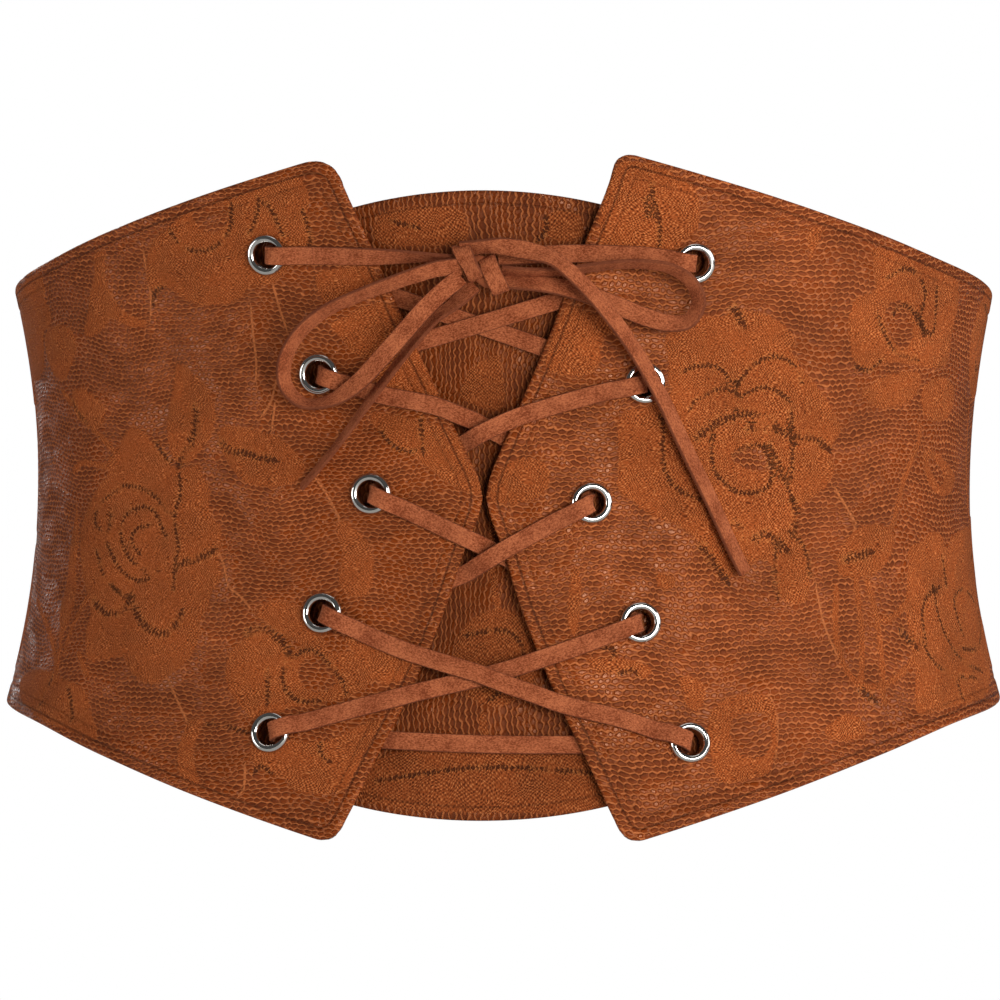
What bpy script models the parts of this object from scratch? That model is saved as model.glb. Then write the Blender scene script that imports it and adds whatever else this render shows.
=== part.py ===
"""Corset belt in its worn form: two laced front panels, a modesty panel, a back band and a bow.

Metres, +Z up, front towards -Y, origin at the centre of the waist.
Places on the belt are pattern coordinates: s runs round the waist from the front centre,
to the right as seen from the front, z runs up, and d stands out from the waist form.
"""

import math
from collections import namedtuple

import bmesh
import bpy
from mathutils import Matrix, Vector

# Waist form
WAIST_HALF_WIDTH = 0.123
WAIST_HALF_DEPTH = 0.090
SIDE_FLARE_UP = 0.0144  # growth of the half width at the upper corners' height
SIDE_FLARE_DOWN = 0.0204
FRONT_FLARE_UP = 0.0075
FRONT_FLARE_DOWN = 0.0105

# Front panels
CORNER_HEIGHT = 0.0866  # sharp front corner above or below the waist line
OPENING_UPPER_LEFT = 0.0333  # half opening at the corner height
OPENING_UPPER_RIGHT = 0.0307
OPENING_LOWER = 0.0316
TIP_SHIFT = 0.0008
TIP_GAP = 0.0008
ROUND_UPPER_LEFT = 0.0085
ROUND_UPPER_RIGHT = 0.0045
ROUND_LOWER = 0.0045
PANEL_LENGTH = 0.205  # front centre to the side seam
WALL = 0.0015
PANEL_COLUMNS = 22
COLUMN_CROWDING = 1.1  # above 1, the columns crowd towards the front edge
ROW_FAIRING = 1.4  # how soon the rows leave the front edge's spacing
TIP_BLEND = 0.006  # width over which the lace passes from one panel's folds to the other's
GAP = 0.0003  # between pieces that touch

# Modesty panel
MODESTY_HALF_WIDTH = 0.066
MODESTY_TOP = 0.0764
MODESTY_BOTTOM = 0.0797
MODESTY_ARC = 4.2  # fall of its edges, per metre of s squared
MODESTY_DEPTH = 0.0046  # from the waist form to its outer face
MODESTY_WALL = 0.0015
MODESTY_SEAM_WIDTH = 0.0045
MODESTY_SEAM_STEP = 0.004  # length over which it leaves the left panel
MODESTY_COLUMNS = 16
MODESTY_ROWS = 7

# Back band
BAND_LAP = 0.012  # under each front panel
BAND_WALL = 0.0018
BAND_INSET = 0.0012  # below the panels' edges
BAND_GAP = 0.0005  # to the front panels' inner faces
BAND_RIBS = 16
RIB_DEPTH = 0.0005
BAND_ROWS = 6

# Eyelets
EYELET_RADIUS = 0.00525
EYELET_HOLE_RADIUS = 0.00315
EYELET_RISE = 0.0013
BARREL_WALL = 0.0003
WASHER_RADIUS = 0.0047
WASHER_THICK = 0.0004
EYELET_PITCH = 0.0301
EYELET_INSET = 0.0282  # from the front edge
EYELET_LEVEL_LEFT = 0.0011
EYELET_LEVEL_RIGHT = -0.0012
EYELET_SIDES = 12
CUTTER_DEPTH = 0.009
SEAT_SAMPLES = 16

# Lace
LACE_WIDTH = 0.0046
LACE_THICK = 0.0010
LACE_STEP = 0.0048  # between the rings of a straight run
TURN_RADIUS = 0.0028  # of the lace's middle, through an eyelet
TURN_REACH = 0.0085  # from an eyelet's middle to where the lace lies down
NEAR_STAND = {"front": 0.0012, "back": -0.0026}  # of the lace there, from the cloth
RIM_CLEARANCE = 0.00054  # between the lace and an eyelet's rim

# Bow
KNOT_SHIFT = 0.0005
KNOT_HEIGHT = 0.0576
KNOT_STAND = 0.0034
KNOT_LENGTH = 0.0098
KNOT_WIDTH = 0.0068
KNOT_THICK = 0.0054
KNOT_LEAN = -55.0
KNOT_SIDES = 10
BOW_STEP = 0.0060
LACE_END_LEFT = (-0.0050, 0.0027)  # from the knot's middle
LACE_END_RIGHT = (0.0039, 0.0024)



def table(columns, *rows):
    """A table whose rows are read by the names of its columns."""
    row_type = namedtuple("Row", columns)
    return tuple(row_type(*row) for row in rows)


# Upper and lower edges of the belt: share of the half waist, shares of the corner height
EDGE_ROWS = table(
    "along upper lower",
    (0.000, 1.110, 1.120),
    (0.095, 1.000, 1.000),
    (0.190, 0.894, 0.878),
    (0.291, 0.782, 0.752),
    (0.380, 0.693, 0.662),
    (0.500, 0.616, 0.606),
    (0.610, 0.566, 0.566),
    (0.800, 0.540, 0.540),
    (1.000, 0.531, 0.531),
)

# Front edge: share of the corner height, shares of the half opening
FRONT_ROWS = table(
    "height upper lower",
    (0.00, 0.000, 0.000),
    (0.06, 0.034, 0.041),
    (0.15, 0.138, 0.138),
    (0.30, 0.322, 0.266),
    (0.45, 0.500, 0.415),
    (0.60, 0.656, 0.576),
    (0.75, 0.802, 0.752),
    (0.90, 0.944, 0.900),
    (1.00, 1.000, 1.000),
)
FRONT_STATIONS = (0.06, 0.12, 0.18, 0.25, 0.36, 0.51, 0.67, 0.82)
ROUND_STATIONS = (0.0, 0.5, 1.0)

# Eyelet rows: pitches above the middle row, shares of the eyelet inset on each panel
EYELET_ROWS = table(
    "pitches left right",
    (2, 0.945, 1.000),
    (1, 0.987, 1.015),
    (0, 0.998, 0.933),
    (-1, 1.083, 0.995),
    (-2, 1.020, 0.925),
)

# Rolled rim of an eyelet: shares of the rim's width from the hole and of the rim's rise
RIM_PROFILE = table(
    "out rise",
    (0.00, 0.45),
    (0.20, 0.88),
    (0.50, 1.00),
    (0.84, 0.74),
    (1.00, 0.00),
)

# Soft folds of a front panel: place as shares of the panel length and corner height,
# direction in degrees, length and width as shares of the panel length, rise as a share
# of the corner height
FOLD_COLUMNS = "along height angle length width rise"
FOLDS = {
    "left": table(
        FOLD_COLUMNS,
        (0.036, 0.150, 70, 0.042, 0.038, 0.0170),
        (0.044, -0.250, 110, 0.042, 0.036, 0.0140),
        (0.240, 0.120, 60, 0.100, 0.040, 0.0090),
        (0.330, -0.300, 120, 0.120, 0.045, 0.0100),
        (0.400, 0.350, 75, 0.150, 0.050, -0.0100),
        (0.560, -0.050, 85, 0.220, 0.060, 0.0120),
        (0.800, 0.200, 95, 0.200, 0.070, -0.0120),
    ),
    "right": table(
        FOLD_COLUMNS,
        (0.060, 0.020, 90, 0.050, 0.040, 0.0050),
        (0.230, 0.250, 120, 0.090, 0.036, 0.0080),
        (0.215, -0.260, 60, 0.100, 0.036, 0.0090),
        (0.350, 0.640, 150, 0.110, 0.045, 0.0100),
        (0.330, 0.020, 90, 0.200, 0.045, -0.0090),
        (0.520, -0.200, 105, 0.220, 0.060, 0.0120),
        (0.780, 0.100, 90, 0.200, 0.070, -0.0110),
    ),
}

# Where the lace passes an eyelet's rim: share of the rim's radius, rise from its level
RIM_LIES = {
    "front": table("out rise", (0.90, 0.0), (1.24, -0.0005)),
    "back": table("out rise", (1.04, 0.0), (1.36, 0.0002)),
}

# Runs of the lace from knot to knot. Each leaves one eyelet and reaches the next, and
# between them passes points of: share of the run, shift up, stand from the cloth, roll
LACE_RUNS = table(
    "start leaves end reaches points",
    (None, "front", ("left", 0), "front",
     ((0.00, 0.0000, 0.0009, -78), (0.124, 0.0000, 0.0007, -68), (0.289, 0.0000, 0.0010, -45),
      (0.444, 0.0000, 0.0019, -24), (0.62, 0.0000, 0.0013, -8), (0.785, 0.0000, 0.0009, 0))),
    (("left", 0), "back", ("right", 1), "back",
     ((0.187, -0.0004, -0.0025, 0), (0.39, -0.0003, -0.0032, 0), (0.492, -0.0003, -0.0034, 0),
      (0.644, -0.0002, -0.0034, 0), (0.797, -0.0001, -0.0026, 0))),
    (("right", 1), "front", ("left", 2), "back",
     ((0.159, 0.0020, 0.0008, 0), (0.308, 0.0033, 0.0008, 0), (0.453, 0.0042, 0.0009, 0),
      (0.536, 0.0041, 0.0013, 0), (0.596, 0.0037, 0.0011, 0), (0.625, 0.0033, -0.0008, 0),
      (0.655, 0.0030, -0.0027, 0), (0.725, 0.0022, -0.0028, 0), (0.814, 0.0014, -0.0025, 0))),
    (("left", 2), "front", ("right", 3), "back",
     ((0.211, 0.0004, 0.0008, 0), (0.303, 0.0004, 0.0010, 0), (0.376, 0.0005, 0.0011, 0),
      (0.417, 0.0005, -0.0008, 0), (0.457, 0.0005, -0.0024, 0), (0.516, 0.0005, -0.0028, 0),
      (0.669, 0.0006, -0.0025, 0), (0.822, 0.0007, -0.0025, 0))),
    (("right", 3), "front", ("left", 4), "front",
     ((0.163, -0.0011, 0.0008, 0), (0.28, -0.0015, 0.0010, 0), (0.346, -0.0016, 0.0001, 0),
      (0.442, -0.0014, -0.0003, 0), (0.528, -0.0010, 0.0000, 0), (0.599, -0.0007, 0.0008, 0),
      (0.791, -0.0002, 0.0008, 0))),
    (("left", 4), "back", ("right", 4), "back",
     ((0.158, -0.0003, -0.0025, 0), (0.514, -0.0010, -0.0026, 0), (0.869, -0.0003, -0.0025, 0))),
    (("right", 4), "front", ("left", 3), "front",
     ((0.179, 0.0001, 0.0009, 0), (0.331, -0.0012, 0.0011, 0), (0.413, -0.0011, 0.0016, 0),
      (0.484, -0.0011, 0.0016, 0), (0.552, -0.0008, 0.0017, 0), (0.626, -0.0011, 0.0016, 0),
      (0.697, -0.0014, 0.0011, 0), (0.768, -0.0016, 0.0010, 0), (0.859, -0.0012, 0.0008, 0))),
    (("left", 3), "back", ("right", 2), "front",
     ((0.233, -0.0026, -0.0025, 0), (0.435, -0.0044, -0.0027, 0), (0.531, -0.0046, -0.0025, 0),
      (0.596, -0.0039, 0.0009, 0), (0.657, -0.0031, 0.0018, 0), (0.727, -0.0023, 0.0014, 0),
      (0.818, -0.0014, 0.0008, 0), (0.87, -0.0010, 0.0008, 0))),
    (("right", 2), "back", ("left", 1), "front",
     ((0.135, 0.0033, -0.0025, 0), (0.269, 0.0056, -0.0026, 0), (0.336, 0.0061, -0.0025, 0),
      (0.393, 0.0063, -0.0022, 0), (0.435, 0.0065, -0.0018, 0), (0.472, 0.0065, 0.0010, 0),
      (0.537, 0.0063, 0.0012, 0), (0.609, 0.0053, 0.0010, 0), (0.779, 0.0021, 0.0008, 0))),
    (("left", 1), "back", ("right", 0), "back",
     ((0.143, 0.0002, -0.0025, 0), (0.274, 0.0002, -0.0024, 0), (0.365, 0.0001, -0.0019, 0),
      (0.447, 0.0001, -0.0016, 0), (0.526, 0.0001, -0.0019, 0), (0.617, 0.0001, -0.0024, 0),
      (0.849, 0.0000, -0.0025, 0))),
    (("right", 0), "front", None, "front",
     ((0.22, 0.0015, 0.0009, 0), (0.50, 0.0018, 0.0009, 0), (0.62, 0.0017, 0.0009, 0),
      (0.74, 0.0014, 0.0012, 14), (0.87, 0.0008, 0.0014, 32), (1.00, 0.0000, 0.0014, 50))),
)

# Bow strands: from the knot's middle along s and z, stand from the waist form, roll
BOW_COLUMNS = "s z stand roll"
BOW_LOOP_LEFT = table(
    BOW_COLUMNS,
    (-0.0045, 0.0008, 0.0042, -18), (-0.0100, 0.0004, 0.0056, -28), (-0.0164, -0.0016, 0.0066, -38),
    (-0.0238, -0.0043, 0.0076, -48), (-0.0309, -0.0072, 0.0082, -54), (-0.0372, -0.0104, 0.0086, -58),
    (-0.0423, -0.0147, 0.0086, -60), (-0.0457, -0.0190, 0.0082, -62), (-0.0477, -0.0234, 0.0074, -63),
    (-0.0483, -0.0278, 0.0064, -65), (-0.0468, -0.0316, 0.0054, -68), (-0.0435, -0.0337, 0.0050, -68),
    (-0.0394, -0.0335, 0.0050, -58), (-0.0346, -0.0317, 0.0058, -35), (-0.0298, -0.0284, 0.0068, -14),
    (-0.0241, -0.0225, 0.0076, -4), (-0.0186, -0.0162, 0.0078, 0), (-0.0138, -0.0104, 0.0072, 0),
    (-0.0091, -0.0055, 0.0058, -4), (-0.0047, -0.0018, 0.0044, -4),
)
BOW_LOOP_RIGHT = table(
    BOW_COLUMNS,
    (0.0047, -0.0003, 0.0036, 60), (0.0113, -0.0008, 0.0036, 62), (0.0183, -0.0005, 0.0042, 64),
    (0.0251, 0.0006, 0.0054, 64), (0.0318, 0.0016, 0.0066, 63), (0.0387, 0.0016, 0.0074, 62),
    (0.0445, 0.0004, 0.0076, 61), (0.0483, -0.0024, 0.0074, 60), (0.0506, -0.0060, 0.0070, 60),
    (0.0510, -0.0096, 0.0064, 60), (0.0494, -0.0124, 0.0058, 52), (0.0462, -0.0135, 0.0052, 36),
    (0.0412, -0.0126, 0.0048, 12), (0.0351, -0.0103, 0.0046, 0), (0.0291, -0.0078, 0.0044, 2),
    (0.0231, -0.0056, 0.0042, 20), (0.0172, -0.0042, 0.0039, 38), (0.0113, -0.0036, 0.0036, 50),
    (0.0052, -0.0032, 0.0034, 56),
)
LACE_TAIL_LEFT = table(
    BOW_COLUMNS,
    (-0.0018, -0.0039, 0.0020, 20), (-0.0056, -0.0079, 0.0026, 48), (-0.0105, -0.0117, 0.0036, 60),
    (-0.0157, -0.0175, 0.0040, 62), (-0.0210, -0.0244, 0.0046, 62), (-0.0258, -0.0308, 0.0049, 62),
    (-0.0311, -0.0379, 0.0048, 62), (-0.0366, -0.0449, 0.0042, 62), (-0.0415, -0.0505, 0.0038, 62),
    (-0.0455, -0.0548, 0.0036, 62),
)
LACE_TAIL_RIGHT = table(
    BOW_COLUMNS,
    (-0.0002, 0.0071, 0.0050, -10), (0.0044, 0.0067, 0.0066, -20), (0.0107, 0.0055, 0.0080, -34),
    (0.0157, 0.0036, 0.0094, -42), (0.0193, 0.0009, 0.0102, -42), (0.0235, -0.0034, 0.0101, -38),
    (0.0274, -0.0080, 0.0094, -36), (0.0309, -0.0124, 0.0084, -36), (0.0364, -0.0201, 0.0066, -36),
    (0.0410, -0.0277, 0.0058, -36), (0.0443, -0.0333, 0.0048, -34), (0.0507, -0.0455, 0.0032, -32),
    (0.0573, -0.0581, 0.0024, -30), (0.0630, -0.0705, 0.0022, -30), (0.0659, -0.0766, 0.0022, -30),
)

# The knot's lump: shares of its half length and of its section
KNOT_SECTIONS = table(
    "along size",
    (-1.00, 0.62),
    (-0.62, 0.96),
    (0.00, 1.00),
    (0.62, 0.96),
    (1.00, 0.62),
)

SIGN = {"left": -1, "right": 1}
ARC_STEPS = 1440
SLOPE_STEP = 0.0004
STEEP_STEP = 0.0010  # a change of the lace's stand that takes a ring at both its ends


# Tables and curves

def smooth_row(rows, at):
    """A table's row at any place of its first column, on a smooth curve through its rows."""
    last = len(rows) - 1
    at = min(max(at, rows[0][0]), rows[last][0])
    low = max(i for i in range(last) if rows[i][0] <= at)
    span = rows[low + 1][0] - rows[low][0]
    t = (at - rows[low][0]) / span
    values = [at]
    for column in range(1, len(rows[0])):

        def slope(i):
            before, after = max(i - 1, 0), min(i + 1, last)
            rise = rows[after][column] - rows[before][column]
            return rise / (rows[after][0] - rows[before][0])

        start, end = rows[low][column], rows[low + 1][column]
        values.append(
            start * (1 + 2 * t) * (1 - t) ** 2
            + end * t * t * (3 - 2 * t)
            + slope(low) * span * t * (1 - t) ** 2
            - slope(low + 1) * span * t * t * (1 - t)
        )
    return rows[0]._make(values)


def smooth_step(value):
    value = min(max(value, 0.0), 1.0)
    return value * value * (3 - 2 * value)


# Waist form

def arc_table():
    """Running length of the half waist, front to back, at equal steps of its angle."""
    lengths = [0.0]
    step = math.pi / ARC_STEPS
    for i in range(ARC_STEPS):
        angle = (i + 0.5) * step
        across = WAIST_HALF_WIDTH * math.cos(angle)
        deep = WAIST_HALF_DEPTH * math.sin(angle)
        lengths.append(lengths[-1] + math.hypot(across, deep) * step)
    return lengths


ARC = arc_table()
HALF_WAIST = ARC[-1]


def waist_angle(s):
    """Angle round the waist at a length along it."""
    reach = abs(s)
    low, high = 0, ARC_STEPS - 1
    while low < high:
        middle = (low + high + 1) // 2
        if ARC[middle] <= reach:
            low = middle
        else:
            high = middle - 1
    steps = low + (reach - ARC[low]) / (ARC[low + 1] - ARC[low])
    return math.copysign(steps * math.pi / ARC_STEPS, s)


def form_point(s, z):
    rise = (z / CORNER_HEIGHT) ** 2
    half_width = WAIST_HALF_WIDTH + (SIDE_FLARE_UP if z > 0 else SIDE_FLARE_DOWN) * rise
    half_depth = WAIST_HALF_DEPTH + (FRONT_FLARE_UP if z > 0 else FRONT_FLARE_DOWN) * rise
    angle = waist_angle(s)
    return Vector((half_width * math.sin(angle), -half_depth * math.cos(angle), z))


def form_normal(s, z):
    round_waist = form_point(s + SLOPE_STEP, z) - form_point(s - SLOPE_STEP, z)
    up = form_point(s, z + SLOPE_STEP) - form_point(s, z - SLOPE_STEP)
    return round_waist.cross(up).normalized()


def place(s, z, d):
    return form_point(s, z) + form_normal(s, z) * d


# Soft folds

def panel_rise(side, s, z):
    """How far a front panel's folds lift it from the waist form."""
    along = s * SIGN[side]
    total = 0.0
    for fold in FOLDS[side]:
        run = along - fold.along * PANEL_LENGTH
        up = z - fold.height * CORNER_HEIGHT
        turn = math.radians(fold.angle)
        lengthwise = (run * math.cos(turn) + up * math.sin(turn)) / (fold.length * PANEL_LENGTH)
        crosswise = (up * math.cos(turn) - run * math.sin(turn)) / (fold.width * PANEL_LENGTH)
        total += fold.rise * CORNER_HEIGHT * math.exp(-lengthwise**2 - crosswise**2)
    return total


def cloth_rise(s, z):
    """Folds of both panels, blended across the front centre."""
    right = smooth_step((s - TIP_SHIFT) / TIP_BLEND + 0.5)
    return panel_rise("left", s, z) * (1 - right) + panel_rise("right", s, z) * right


# Outlines

def belt_edge(s, z_sign):
    """Height of the belt's upper or lower edge at a length along it."""
    edge = smooth_row(EDGE_ROWS, abs(s) / HALF_WAIST)
    return edge.upper * CORNER_HEIGHT if z_sign > 0 else -edge.lower * CORNER_HEIGHT


def opening(side, z_sign):
    if z_sign < 0:
        return OPENING_LOWER
    return OPENING_UPPER_LEFT if side == "left" else OPENING_UPPER_RIGHT


def front_edge(side, z):
    """Where a panel's front edge lies at a height."""
    share = min(abs(z) / CORNER_HEIGHT, 1.0)
    front = smooth_row(FRONT_ROWS, share)
    half = (front.upper if z > 0 else front.lower) * opening(side, z)
    middle = TIP_SHIFT * (1 - share)
    return middle + SIGN[side] * (half + TIP_GAP / 2)


def half_front_outline(side, z_sign):
    """Points of a panel's front edge from near the tip to the start of its long edge."""
    round_size = ROUND_LOWER
    if z_sign > 0:
        round_size = ROUND_UPPER_LEFT if side == "left" else ROUND_UPPER_RIGHT
    points = []
    for station in FRONT_STATIONS:
        z = z_sign * station * CORNER_HEIGHT
        points.append((front_edge(side, z), z))
    corner = (front_edge(side, z_sign * CORNER_HEIGHT), z_sign * CORNER_HEIGHT)
    start_z = z_sign * (CORNER_HEIGHT - round_size)
    start = (front_edge(side, start_z), start_z)
    end_s = corner[0] + SIGN[side] * round_size
    end = (end_s, belt_edge(end_s, z_sign))
    for t in ROUND_STATIONS:
        weights = ((1 - t) ** 2, 2 * t * (1 - t), t * t)
        points.append(tuple(
            sum(w * p[i] for w, p in zip(weights, (start, corner, end))) for i in (0, 1)
        ))
    return points


def front_outline(side):
    lower = half_front_outline(side, -1)
    upper = half_front_outline(side, 1)
    return lower[::-1] + [(front_edge(side, 0.0), 0.0)] + upper


# Meshes

def material(name, colour, roughness, metallic=0.0):
    made = bpy.data.materials.new(name)
    made.use_nodes = True
    shader = made.node_tree.nodes["Principled BSDF"]
    shader.inputs["Base Color"].default_value = (*colour, 1.0)
    shader.inputs["Roughness"].default_value = roughness
    shader.inputs["Metallic"].default_value = metallic
    return made


def add_object(name, mesh_builder, finish):
    mesh = bpy.data.meshes.new(name)
    bmesh.ops.recalc_face_normals(mesh_builder, faces=mesh_builder.faces)
    mesh_builder.to_mesh(mesh)
    mesh_builder.free()
    mesh.materials.append(finish)
    mesh.shade_smooth()
    mesh.set_sharp_from_angle(angle=math.radians(40))
    piece = bpy.data.objects.new(name, mesh)
    bpy.context.scene.collection.objects.link(piece)
    return piece


def sheet(name, outer, inner, finish):
    """Closed wall between two grids of points with the same rows and columns."""
    build = bmesh.new()
    rows, columns = len(outer), len(outer[0])
    front = [[build.verts.new(p) for p in row] for row in outer]
    back = [[build.verts.new(p) for p in row] for row in inner]
    for i in range(rows - 1):
        for j in range(columns - 1):
            build.faces.new((front[i][j], front[i][j + 1], front[i + 1][j + 1], front[i + 1][j]))
            build.faces.new((back[i][j], back[i + 1][j], back[i + 1][j + 1], back[i][j + 1]))
    rim = [(0, j) for j in range(columns)]
    rim += [(i, columns - 1) for i in range(1, rows)]
    rim += [(rows - 1, j) for j in range(columns - 2, -1, -1)]
    rim += [(i, 0) for i in range(rows - 2, 0, -1)]
    for (a, b), (c, d) in zip(rim, rim[1:] + rim[:1]):
        build.faces.new((front[a][b], back[a][b], back[c][d], front[c][d]))
    return add_object(name, build, finish)


def strip(name, rings, finish):
    """Flat lace through rings of middle, facing, width direction or None, and roll."""
    build = bmesh.new()
    loops = []
    width_before = None
    last = len(rings) - 1
    for i, (middle, facing, width, roll) in enumerate(rings):
        travel = (rings[min(i + 1, last)][0] - rings[max(i - 1, 0)][0]).normalized()
        if width is None:
            across = facing.cross(travel).normalized()
            lift = travel.cross(across).normalized()
            turn = math.radians(roll)
            width = across * math.cos(turn) + lift * math.sin(turn)
        if width_before is not None and width.dot(width_before) < 0:
            width = -width
        width_before = width
        thick = travel.cross(width).normalized()
        width = thick.cross(travel)
        half_width, half_thick = width * LACE_WIDTH / 2, thick * LACE_THICK / 2
        corners = (half_width + half_thick, half_thick - half_width,
                   -half_width - half_thick, half_width - half_thick)
        loops.append([build.verts.new(middle + corner) for corner in corners])
    for before, after in zip(loops, loops[1:]):
        for j in range(4):
            k = (j + 1) % 4
            build.faces.new((before[j], before[k], after[k], after[j]))
    build.faces.new(loops[0][::-1])
    build.faces.new(loops[-1])
    return add_object(name, build, finish)


# Panels

def panel_grid(side, depth):
    """Points of one face of a front panel, rows from its lower to its upper edge."""
    outline = front_outline(side)
    seam = SIGN[side] * PANEL_LENGTH
    seam_low, seam_high = belt_edge(seam, -1), belt_edge(seam, 1)
    lengths = [0.0]
    for a, b in zip(outline, outline[1:]):
        lengths.append(lengths[-1] + math.dist(a, b))
    grid = []
    for (s_front, z_front), length in zip(outline, lengths):
        low, high = belt_edge(s_front, -1), belt_edge(s_front, 1)
        share_front = (z_front - low) / (high - low)
        share_seam = length / lengths[-1]
        row = []
        for j in range(PANEL_COLUMNS + 1):
            along = (j / PANEL_COLUMNS) ** COLUMN_CROWDING
            s = s_front + (seam - s_front) * along
            share = share_front + (share_seam - share_front) * smooth_step(along * ROW_FAIRING)
            z = belt_edge(s, -1) + (belt_edge(s, 1) - belt_edge(s, -1)) * share
            row.append(place(s, z, panel_rise(side, s, z) + depth))
        grid.append(row)
    return grid


def front_panel(side, finish):
    panel = sheet(f"{side}_front_panel", panel_grid(side, 0.0), panel_grid(side, -WALL), finish)
    cutter = hole_cutter(side)
    cut = panel.modifiers.new("eyelet_holes", "BOOLEAN")
    cut.operation = "DIFFERENCE"
    cut.solver = "EXACT"
    cut.object = cutter
    return panel


def hole_cutter(side):
    build = bmesh.new()
    radius = EYELET_HOLE_RADIUS + BARREL_WALL + GAP
    for row in range(len(EYELET_ROWS)):
        frame = eyelet_frame(side, row)
        bmesh.ops.create_cone(build, cap_ends=True, segments=EYELET_SIDES, radius1=radius,
                              radius2=radius, depth=CUTTER_DEPTH, matrix=frame)
    cutter = add_object(f"{side}_hole_cutter", build, None)
    cutter.hide_render = True
    cutter.display_type = "WIRE"
    return cutter


def modesty_depth(s):
    """The modesty panel lies behind the lace and closes on the left panel at its seam."""
    sewn = 1 - smooth_step((s + MODESTY_HALF_WIDTH - MODESTY_SEAM_WIDTH) / MODESTY_SEAM_STEP)
    seam_depth = -WALL - GAP
    return -MODESTY_DEPTH + (seam_depth + MODESTY_DEPTH) * sewn, sewn


def modesty_grid(depth):
    grid = []
    for i in range(MODESTY_ROWS + 1):
        row = []
        for j in range(MODESTY_COLUMNS + 1):
            s = MODESTY_HALF_WIDTH * (2 * j / MODESTY_COLUMNS - 1)
            low = -MODESTY_BOTTOM + MODESTY_ARC * s * s
            high = MODESTY_TOP - MODESTY_ARC * s * s
            z = low + (high - low) * i / MODESTY_ROWS
            stand, sewn = modesty_depth(s)
            rise = panel_rise("left", s, z) * sewn
            row.append(place(s, z, stand + rise + depth))
        grid.append(row)
    return grid


def band_grid(depth, ribbed):
    """One face of the back band, from under the right panel round to under the left."""
    start = PANEL_LENGTH - BAND_LAP
    length = 2 * (HALF_WAIST - start)
    columns = BAND_RIBS * 2
    grid = []
    for i in range(BAND_ROWS + 1):
        row = []
        for j in range(columns + 1):
            s = start + length * j / columns
            folded = s if s <= HALF_WAIST else s - 2 * HALF_WAIST
            low = belt_edge(folded, -1) + BAND_INSET
            high = belt_edge(folded, 1) - BAND_INSET
            z = low + (high - low) * i / BAND_ROWS
            side = "right" if folded > 0 else "left"
            under = smooth_step((PANEL_LENGTH + BAND_LAP * 1.5 - abs(folded)) / BAND_LAP)
            rise = panel_rise(side, folded, z) * under
            free = 1 - smooth_step((PANEL_LENGTH + BAND_LAP / 2 - abs(folded)) / BAND_LAP)
            rib = RIB_DEPTH * free if ribbed and j % 2 else 0.0
            row.append(place(folded, z, rise - WALL - BAND_GAP + depth - rib))
        grid.append(row)
    return grid


# Eyelets

def eyelet_place(side, row):
    eyelet_row = EYELET_ROWS[row]
    level, share = EYELET_LEVEL_RIGHT, eyelet_row.right
    if side == "left":
        level, share = EYELET_LEVEL_LEFT, eyelet_row.left
    z = level + eyelet_row.pitches * EYELET_PITCH
    return front_edge(side, z) + SIGN[side] * share * EYELET_INSET, z


def eyelet_frame(side, row):
    """Axes of an eyelet: X round the waist, Y up the cloth, Z out of it."""
    s, z = eyelet_place(side, row)

    def cloth(ds, dz):
        return place(s + ds, z + dz, panel_rise(side, s + ds, z + dz))

    reach = EYELET_RADIUS
    round_waist = cloth(reach, 0) - cloth(-reach, 0)
    up = cloth(0, reach) - cloth(0, -reach)
    out = round_waist.cross(up).normalized()
    x_axis = round_waist.normalized()
    y_axis = out.cross(x_axis).normalized()
    x_axis = y_axis.cross(out)
    frame = Matrix((x_axis, y_axis, out)).transposed().to_4x4()
    frame.translation = cloth(0, 0)
    return frame


def eyelet_seats(side, row):
    """Highest outer and lowest inner height of the cloth under an eyelet."""
    s, z = eyelet_place(side, row)
    to_frame = eyelet_frame(side, row).inverted()
    outer, inner = [0.0], [-WALL]
    for i in range(SEAT_SAMPLES):
        angle = math.tau * i / SEAT_SAMPLES
        ds, dz = EYELET_RADIUS * math.cos(angle), EYELET_RADIUS * math.sin(angle)
        rise = panel_rise(side, s + ds, z + dz)
        outer.append((to_frame @ place(s + ds, z + dz, rise)).z)
        inner.append((to_frame @ place(s + ds, z + dz, rise - WALL)).z)
    return max(outer), min(inner)


def eyelet_heights(side, row):
    """Underside and top of the rim, then top and underside of the washer."""
    highest, lowest = eyelet_seats(side, row)
    under_rim = highest + GAP
    washer_top = lowest - GAP
    return under_rim, under_rim + EYELET_RISE, washer_top, washer_top - WASHER_THICK


def eyelet(side, row, finish):
    under_rim, top, washer_top, washer_under = eyelet_heights(side, row)
    inside = EYELET_HOLE_RADIUS
    outside = inside + BARREL_WALL
    rim = EYELET_RADIUS - inside
    rise = top - under_rim
    profile = [(inside, washer_under)]
    profile += [(inside + rim * point.out, under_rim + rise * point.rise) for point in RIM_PROFILE]
    profile += [
        (outside, under_rim),
        (outside, washer_top),
        (WASHER_RADIUS, washer_top),
        (WASHER_RADIUS, washer_under),
    ]
    build = bmesh.new()
    rings = []
    for i in range(EYELET_SIDES):
        angle = math.tau * i / EYELET_SIDES
        rings.append([
            build.verts.new((r * math.cos(angle), r * math.sin(angle), h)) for r, h in profile
        ])
    for before, after in zip(rings, rings[1:] + rings[:1]):
        for j in range(len(profile)):
            k = (j + 1) % len(profile)
            build.faces.new((before[j], after[j], after[k], before[k]))
    ring = add_object(f"eyelet_{side}_{row + 1}", build, finish)
    ring.matrix_world = eyelet_frame(side, row)
    return ring


# Lace

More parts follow.
